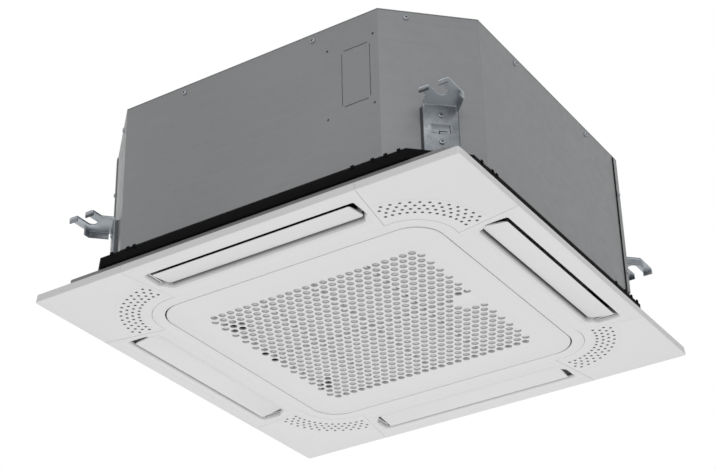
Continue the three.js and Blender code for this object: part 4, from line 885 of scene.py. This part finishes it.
# the foam strip between casing and panel, laid in lengths whose cut ends stand up a little
gasket = {
    "half": 285, "chamfer": 58, "low": 36.3, "high": 50.7, "middle": 207, "middleRadius": 38.4, "along": 150,
    "outletOuter": 276, "outletInner": 243, "screwAt": 226, "screwHole": 3.4, "tab": (7, 3.4, 2.2),
    "tabsAt": (-212, -186, -176, 150, 178, 196, 214),
}


def octagonLoop(half, chamfer):
    corner = half - chamfer
    return [(half, -corner), (half, corner), (corner, half), (-corner, half),
            (-half, corner), (-half, -corner), (-corner, -half), (corner, -half)]


def gasketShape():
    half, high = gasket["half"], gasket["high"]
    profile = edge(high - gasket["low"], 1.0, gasket["low"])
    loops = [(octagonLoop(half, gasket["chamfer"]), profile)]
    loops.append((outline(roundSquare(gasket["middle"], gasket["middleRadius"], 6), True), profile))
    along = gasket["along"]
    outlet = roundRect(-along, along, -gasket["outletOuter"], -gasket["outletInner"], 2, 3)
    for name, turn in sides:
        loops.append((outline(rotated(outlet, turn), True), profile))
    for sx, sy in diagonals.values():
        hole = circle(sx * gasket["screwAt"], sy * gasket["screwAt"], gasket["screwHole"], 16)
        loops.append((outline(hole, True), profile))
    shape = plate(loops)
    length, width, height = gasket["tab"]
    for name, turn in sides:
        for x in gasket["tabsAt"]:
            tab = softBox(x, x + length, 0.4 - half, width - half, high - 1.2, high + height * 0.12, 0.8)
            bead = softBox(x + 1, x + length - 1, -half - 0.9, 0.6 - half, high - 3, high + height * 0.8)
            shape.join(tab, turnZ(turn)).join(bead, turnZ(turn))
    return shape


makePiece("gasket_foam", gasketShape(), finish["black_foam"], "unit", ["panel_gasket"])

# the casing: two sheets wrapped round the octagon, the rear one lapping over the front one's ends
casing = {
    "half": 285, "chamfer": 90, "low": 51.0, "high": 263.5, "sheet": 1.2, "bend": 2.2, "rightSeam": 192,
    "leftSeam": 3.0, "gap": 0.3, "foot": (240 * root2 - 0.6, 34, 23), "footHole": (226 * root2, 3.2),
}
lapStrip = {"low": 52, "height": 210.5, "proud": 1.5, "right": (185, 194.4), "left": (53.4, 62.0)}


# a path in the plan with rounded corners, walked by length; insets are to its left
class Wrap:
    def __init__(self, corners, radius, steps=4):
        knots = [(Vector(corners[0]), None)]
        for before, here, after in zip(corners, corners[1:], corners[2:]):
            first = (Vector(here) - Vector(before)).normalized()
            second = (Vector(after) - Vector(here)).normalized()
            turn = math.acos(max(-1, min(1, first.dot(second))))
            back = radius * math.tan(turn / 2)
            sign = 1 if first.x * second.y - first.y * second.x > 0 else -1
            start = Vector(here) - first * back
            centre = start + Vector((-first.y, first.x)) * radius * sign
            for step in range(steps + 1):
                spin = Matrix.Rotation(sign * turn * step / steps, 2)
                normal = spin @ Vector((-first.y, first.x))
                knots.append((centre - normal * radius * sign, normal))
        knots.append((Vector(corners[-1]), None))
        self.points = [point for point, normal in knots]
        self.normals = [normal for point, normal in knots]
        self.normals[0], self.normals[-1] = self.normals[1], self.normals[-2]
        self.stations = [0.0]
        for before, after in zip(self.points, self.points[1:]):
            self.stations.append(self.stations[-1] + (after - before).length)
        self.length = self.stations[-1]

    def spot(self, distance, inset):
        i = 0
        while i < len(self.stations) - 2 and distance > self.stations[i + 1]:
            i += 1
        part = (distance - self.stations[i]) / (self.stations[i + 1] - self.stations[i])
        point = self.points[i].lerp(self.points[i + 1], part)
        normal = self.normals[i].lerp(self.normals[i + 1], part)
        return point + normal * inset

    # the distance along the path that lies nearest a point
    def reach(self, x, y):
        best = (1e9, 0)
        for i in range(len(self.points) - 1):
            step = self.points[i + 1] - self.points[i]
            part = max(0, min(1, (Vector((x, y)) - self.points[i]).dot(step) / step.length_squared))
            gap = (self.points[i] + step * part - Vector((x, y))).length
            best = min(best, (gap, self.stations[i] + part * step.length))
        return best[1]


# a flat sheet with holes, given by the length along a wrap and the height, and folded round it
def wrappedSheet(wrap, holes):
    thick, low, high = casing["sheet"], casing["low"], casing["high"]
    bottom = [(0.0, low)] + [(u, low) for u in wrap.stations[1:-1]] + [(wrap.length, low)]
    loop = bottom + [(u, high) for u, v in reversed(bottom)]
    count = len(bottom)
    lines = [(i, 2 * count - 1 - i) for i in range(1, count - 1)]
    profile = [(0.3, 0), (0, 0.3), (0, thick - 0.3), (0.3, thick)]

    def fold(u, v, w):
        point = wrap.spot(u, w)
        return (point.x, point.y, v)

    return plate([(loop, profile)] + [(outline(hole, True), profile) for hole in holes], fold, lines)


half, corner = casing["half"], casing["half"] - casing["chamfer"]
frontEnd, rearEnd = casing["leftSeam"], casing["leftSeam"] - casing["gap"]
frontWrap = Wrap([(frontEnd - half, -corner - frontEnd), (-corner, -half), (corner, -half), (half, -corner),
                  (half, casing["rightSeam"])], casing["bend"])
rearWrap = Wrap([(half, casing["rightSeam"] + casing["gap"]), (half, corner), (corner, half), (-corner, half),
                 (-half, corner), (-half, -corner), (rearEnd - half, -corner - rearEnd)], casing["bend"])

knockout = {"left": 141.9, "right": 181.9, "low": 138.6, "high": 220.3, "cut": 0.9, "bridge": 3}
cornerHoles = [(121, 229.5), (187, 229.9), (121, 128.6), (187, 129)]
pipePlate = {"at": 142, "half": 14.3, "low": 148.3, "high": 210}
glandHole = {"at": 60, "height": 196, "radius": 9.4}
drainHole = {"at": -176, "height": 219, "radius": 12.9}


def footTab(sx, sy):
    face, length, halfWidth = casing["foot"]
    holeAt, holeRadius = casing["footHole"]
    profile = edge(casing["sheet"], 0.3, casing["low"])
    strip = roundRect(face - length, face, -halfWidth, halfWidth, 2, 3)
    hole = circle(holeAt, 0, holeRadius, 16)
    shape = plate([(outline(strip), profile), (outline(hole, True), profile)])
    return Shape().join(shape, turnZ(math.degrees(math.atan2(sy, sx))))


def casingFront():
    cut = knockout["cut"] / 2
    base = frontWrap.reach(0, -casing["half"])
    holes = [circle(base + x, z, 1.6, 12) for x, z in cornerHoles]
    left, right = base + knockout["left"], base + knockout["right"]
    low, high, bridge = knockout["low"], knockout["high"], knockout["bridge"]
    for z in (low, high):
        holes.append(roundRect(left + bridge, right - bridge, z - cut, z + cut, cut * 0.9, 2))
    for u in (left, right):
        holes.append(roundRect(u - cut, u + cut, low + bridge, high - bridge, cut * 0.9, 2))
    return wrappedSheet(frontWrap, holes).join(footTab(1, -1)).join(footTab(-1, -1))


# the narrow strip with which the rear sheet covers the front sheet's end
def seamStrip(corners):
    return plate([(outline(corners), edge(lapStrip["height"], 0.35, lapStrip["low"]))])


# a place beside a chamfer: distance out from it and along it
def cornerSpot(out, along, sx=1, sy=1):
    middle = casing["half"] - casing["chamfer"] / 2
    return (sx * (middle + (out + along) / root2), sy * (middle + (out - along) / root2))


def casingRear():
    side, proud = casing["half"], lapStrip["proud"]
    plateAt, width = rearWrap.reach(-side, pipePlate["at"]), pipePlate["half"]
    holes = [
        roundRect(plateAt - width, plateAt + width, pipePlate["low"], pipePlate["high"], 3, 3),
        circle(rearWrap.reach(-side, glandHole["at"]), glandHole["height"], glandHole["radius"], 24),
        circle(rearWrap.reach(drainHole["at"], side), drainHole["height"], drainHole["radius"], 28),
    ]
    shape = wrappedSheet(rearWrap, holes)
    start, end = lapStrip["right"]
    strip = [(side + 0.3, start), (side + proud, start), (side + proud, end), (side + 0.2, end)]
    shape.join(seamStrip(strip))
    start, end = lapStrip["left"]
    strip = [(0.3, start), (proud, start), (proud, end), (0.2, end)]
    shape.join(seamStrip([cornerSpot(out, along, -1, -1) for out, along in strip]))
    return shape.join(footTab(1, 1)).join(footTab(-1, 1))


makePiece("casing_front_sheet", casingFront(), finish["galvanised_sheet"], "unit", ["casing_front"])
makePiece("casing_rear_sheet", casingRear(), finish["galvanised_sheet"], "unit", ["casing_rear"])
print("casing made")

# the hooks that hang the unit on its rods
hook = {
    "proud": 6, "thickness": 2.4, "foot": 55, "under": 127, "bend": 2.0, "near": -13.5, "far": 29.5,
    "bolt": (266, 260), "slot": 13, "prong": 13.5, "tip": 283, "lip": 5.5, "sideLip": 9, "splay": 2.4,
    "flange": 68, "tab": (-4, 18.8, 86.5, 99),
}
# painted shadows in the cuts round the lanced tab: middle and half along the chamfer, then in height
zincMarks = {
    "pale": (0.305, 0.325, 0.345), "dark": (0.185, 0.203, 0.222), "run": (0.07, 0.077, 0.075),
    "underside": (0.56, 0.60, 0.64), "cut": (0.012, 0.012, 0.013), "flankTop": 124, "flankFrom": (21.6, 21.9),
    "cuts": ((10.1, 5.7, 89.1, 0.7), (5.2, 0.8, 87.3, 1.9), (18.3, 0.5, 93, 6)),
}


# zinc plate straight from the bath: cloudy, with darker runs, painted shade on the flanks and in the cuts
# round the tab, and painted light on the hooks' undersides
def zincPlate(name):
    shade = Shader(name)
    x, y, z = shade.parts()
    along = (abs(x) - abs(y)) * (1 / root2)
    middle = (hook["near"] + hook["far"]) / 2 * mm
    # painted shade: dark lines where the slits round the tab are
    marks = [shade.band(along, where, half) * shade.band(z, height, rise)
             for where, half, height, rise in zincMarks["cuts"]]
    cut = marks[0].highest(marks[1]).highest(marks[2])
    # painted shade on the flanks beside the plate, low down
    lowDown = shade.falling(z, zincMarks["flankTop"] - 0.4, zincMarks["flankTop"])
    flank = shade.rising(abs(along - middle), *zincMarks["flankFrom"]) * lowDown
    cloud = shade.remap(shade.noise(38, 4, 0.62), 0.36, 0.66)
    run = shade.remap(shade.noise(85, 5, 0.7), 0.56, 0.7)
    body = shade.mix(cloud, zincMarks["dark"], zincMarks["pale"])
    body = shade.mix(run * 0.5, body, zincMarks["run"])
    # painted light: the hooks' undersides are paler
    body = shade.mix(shade.band(z, hook["under"], 0.5), body, zincMarks["underside"])
    body = shade.mix(cut.highest(flank * 0.75), body, zincMarks["cut"])
    sheen = shade.remap(cloud, 0, 1, 0.45, 0.3)
    return shade.finish(body, sheen, shade.bump(shade.noise(700, 3), 0.06), 0.45)


def hangerShape():
    proud, sheet, under, bend = hook["proud"], hook["thickness"], hook["under"], hook["bend"]
    boltX, boltY = hook["bolt"]
    near, far, tip = hook["near"], hook["far"], hook["tip"]
    slotNear, slotFar = boltX - hook["slot"] / 2, boltX + hook["slot"] / 2
    nearEdge, farEdge = slotNear - hook["prong"], slotFar + hook["prong"]
    side = Wrap([(proud, hook["foot"]), (proud, under), (proud + 60, under)], bend, 6)
    turnLength = side.stations[-2]
    middle = casing["half"] - casing["chamfer"] / 2

    def fold(u, v, w):
        point = side.spot(v, w)
        x, y = cornerSpot(point.x, u)
        return (x, y, point.y)

    # from the plan to the unfolded sheet: distance along the chamfer, distance up and out
    def unfold(x, y):
        out = ((x - middle) + (y - middle)) / root2
        along = ((x - middle) - (y - middle)) / root2
        return (along, turnLength + out - proud - bend)

    def outAt(x, along):
        return (x - middle) * root2 - along

    farCorner, nearCorner = cornerSpot(outAt(farEdge, far), far), cornerSpot(outAt(nearEdge, near), near)
    hookPlan = [farCorner, (farEdge, tip - 2), (farEdge - 2, tip), (slotFar + 1, tip), (slotFar, tip - 1)]
    hookPlan += arc(boltX, boltY, hook["slot"] / 2, 0, -180, 12)
    hookPlan += [(slotNear, tip - 1), (slotNear - 1, tip), (nearEdge + 2, tip), (nearEdge, tip - 2)]
    hookPlan.append(nearCorner)
    knots = side.stations[1:-1]
    upFar = [(far, 2), *[(far, v) for v in knots]]
    downNear = [*[(near, v) for v in reversed(knots)], (near, 2)]
    loop = [(near + 2, 0), (far - 2, 0)] + upFar + [unfold(*spot) for spot in hookPlan] + downNear
    lines = [(3 + i, len(loop) - 2 - i) for i in range(len(knots))]
    if outline(loop) is not loop:
        lines = [(len(loop) - 1 - a, len(loop) - 1 - b) for a, b in lines]
    shape = plate([(outline(loop), edge(sheet, 0.35))], fold, lines)
    for start, end in ((nearEdge, slotNear), (slotFar, farEdge)):
        shape.join(softBox(start + 0.1, end - 0.1, tip - sheet, tip - 0.05, under - hook["lip"],
                           under + sheet * 0.8, 0.9))
    path = [cornerSpot(9, far), farCorner, (farEdge, farCorner[1] + 9)]
    low, high = under - hook["sideLip"], under + 0.6
    section = [(0, low + 1), (0, high), (sheet, high), (sheet, low + 1), (sheet - 0.7, low), (0.7, low)]
    shape.join(sweep(path, section))
    splay = hook["splay"]
    for along, turn in ((near, 1), (far, -1)):
        flange = [cornerSpot(0.35, along - turn * splay), cornerSpot(4.6, along - turn * 0.2),
                  cornerSpot(5.2, along + turn * sheet), cornerSpot(0.35, along - turn * (splay - sheet))]
        shape.join(plate([(outline(flange), edge(hook["flange"], 0.5, hook["foot"] + 0.5))]))
    tabNear, tabFar, tabLow, tabHigh = hook["tab"]
    tab = [cornerSpot(5, tabNear), cornerSpot(6.6, tabNear), cornerSpot(6.6, tabFar), cornerSpot(5, tabFar)]
    return shape.join(plate([(outline(tab), edge(tabHigh - tabLow, 0.5, tabLow))]))


finish["zinc_plate"] = zincPlate("zinc plate")
hangerMade = hangerShape()
for name, (sx, sy) in diagonals.items():
    mirrored = Shape().join(hangerMade, Matrix.Diagonal((sx, sy, 1, 1)))
    makePiece("hook_" + name, mirrored, finish["zinc_plate"], "unit", ["hanger_" + name])
print("hangers made")

# the screws of casing and hooks: large ones near the top and on each hook, small ones down the laps
panHead, smallHead = {"radius": 3.6, "height": 2.2}, {"radius": 2.8, "height": 1.8}
screwPlaces = {
    "face": (-100, 100), "faceHeight": 254.5, "corner": ((0, -28, 255), (6, 8, 112), (6, 8, 74.5)),
    "lapHeights": (204, 82), "rightLap": 190, "leftLap": 57.8,
}


# a domed head with a cross recess, standing on the plane z = 0
def screwHead(radius, height):
    arm, half = radius * 0.55, radius * 0.15
    cross = [(arm, half), (half, half), (half, arm), (-half, arm), (-half, half), (-arm, half),
             (-arm, -half), (-half, -half), (-half, -arm), (half, -arm), (half, -half), (arm, -half)]
    dome = [(0, 0), (0, height * 0.45), (radius * 0.1, height * 0.75),
            (radius * 0.3, height * 0.97), (radius * 0.4, height)]
    return plate([(circle(0, 0, radius, 20), dome), (outline(cross, True), [(0, height * 0.3), (0, height)])])


# painted shade: the dark floor of a screw's recess
def screwWell(radius, height):
    wide, rim, top = radius * 0.62, height * 0.35, height * 0.42
    return turned([(0, 0.1), (wide, 0.1), (wide, rim), (wide * 0.9, top), (0, top)], 12)


large, small = [(screwHead(**size), screwWell(**size)) for size in (panHead, smallHead)]
spots = [(large, turnZ(turn) @ at(x, -casing["half"], screwPlaces["faceHeight"], (0, -1, 0)))
         for turn in (0, 90, 180, 270) for x in screwPlaces["face"]]
for sx, sy in diagonals.values():
    for out, along, z in screwPlaces["corner"]:
        spots.append((large, at(*cornerSpot(out, along, sx, sy), z, (sx, sy, 0))))
for z in screwPlaces["lapHeights"]:
    spots.append((small, at(casing["half"] + lapStrip["proud"], screwPlaces["rightLap"], z, (1, 0, 0))))
    spots.append((small, at(*cornerSpot(lapStrip["proud"], screwPlaces["leftLap"], -1, -1), z, (-1, -1, 0))))
screws, wells = Shape(), Shape()
for (head, well), spot in spots:
    screws.join(head, spot)
    wells.join(well, spot)
makePiece("casing_screws", screws, metal("screw", (0.34, 0.36, 0.39), 0.36), "unit", ())
# painted shade: dark floors in the screws' recesses
makePiece("casing_screw_wells", wells, finish["dark_plastic"], "unit", ())
print("screws made")

# the frame's own solids are dressed by slot; the filter's frame is painted paler than the other white
# mouldings, as painted light where it lies in shade behind the grille
slots = {row["node"]: row["material_slot"] for row in frame["record"]["subparts"]}
filterFrame = moulded("filter frame", plastic["frame"], 0.5)
for name, node in frame["nodes"].items():
    node.data.materials.clear()
    node.data.materials.append(filterFrame if name == "filter_frame" else finish[slots[name]])
print("nodes dressed")

studio = {
    "ambient": 0.40, "floorGlow": 0.3, "floorHeight": -3.2, "floorHalf": 16.0,
    "floorDark": (0.79, 0.79, 0.79), "floorPale": (0.82, 0.82, 0.82),
}
lamps = {
    "lamp below": {"place": (-0.1, 0.15, -1.5), "target": (0, 0, 0), "size": 3.2, "power": 16.0},
    "lamp side": {"place": (1.9, -2.5, 0.5), "target": (0, 0, 0.1), "size": 2.2, "power": 22.0},
}

reach = studio["floorHalf"]
floorMesh = bpy.data.meshes.new("floor")
floorMesh.from_pydata([(-reach, -reach, 0), (reach, -reach, 0), (reach, reach, 0), (-reach, reach, 0)],
                      [], [(0, 1, 2, 3)])
floor = bpy.data.objects.new("floor", floorMesh)
floor.location.z = studio["floorHeight"]
bpy.context.scene.collection.objects.link(floor)
floorShade = Shader("pale floor")
floorTint = floorShade.mix(floorShade.noise(3, 3), studio["floorDark"], studio["floorPale"])
floorMesh.materials.append(floorShade.finish(floorTint, 0.9, glow=studio["floorGlow"]))

# the world is white where it is seen or mirrored, and lights the object less
world = bpy.data.worlds.new("studio")
bpy.context.scene.world = world
sky = NodeTree(world)
cameraRay, glossyRay, passedRay = (sky.node("LightPath", output="Is " + kind + " Ray")
                                   for kind in ("Camera", "Glossy", "Transmission"))
seen = cameraRay.highest(glossyRay).highest(passedRay)
strength = sky.node("MapRange", None, {"Value": seen, "To Min": studio["ambient"], "To Max": 1.0})
backdrop = sky.node("Background", None, {"Color": (1, 1, 1, 1), "Strength": strength})
sky.node("OutputWorld", None, {"Surface": backdrop})

for name, lamp in lamps.items():
    data = bpy.data.lights.new(name, "AREA")
    data.shape = "DISK"
    data.size = lamp["size"]
    data.energy = lamp["power"]
    light = bpy.data.objects.new(name, data)
    light.location = lamp["place"]
    light.rotation_mode = "QUATERNION"
    light.rotation_quaternion = (Vector(lamp["target"]) - Vector(lamp["place"])).to_track_quat("-Z", "Y")
    bpy.context.scene.collection.objects.link(light)

# the camera stands below and to the front right; angles are in degrees
view = {
    "place": (1.0986, -1.7868, -1.0646), "azimuth": 32.02, "elevation": -29.98, "roll": -1.40, "lens": 89.89,
}
azimuth, elevation, roll = (math.radians(view[key]) for key in ("azimuth", "elevation", "roll"))
level = math.cos(elevation)
back = Vector((math.sin(azimuth) * level, -math.cos(azimuth) * level, math.sin(elevation)))
right = (-back).cross(Vector((0, 0, 1))).normalized()
up = right.cross(-back)
rolledRight = right * math.cos(roll) + up * math.sin(roll)
rolledUp = up * math.cos(roll) - right * math.sin(roll)
cameraData = bpy.data.cameras.new("camera")
cameraData.lens = view["lens"]
cameraData.sensor_width = 36
camera = bpy.data.objects.new("camera", cameraData)
turnOfView = Matrix((rolledRight, rolledUp, back)).transposed().to_4x4()
camera.matrix_world = Matrix.Translation(view["place"]) @ turnOfView
bpy.context.scene.collection.objects.link(camera)
bpy.context.scene.camera = camera
bpy.context.scene.view_settings.view_transform = "Standard"
print("stage, lamps and camera set")
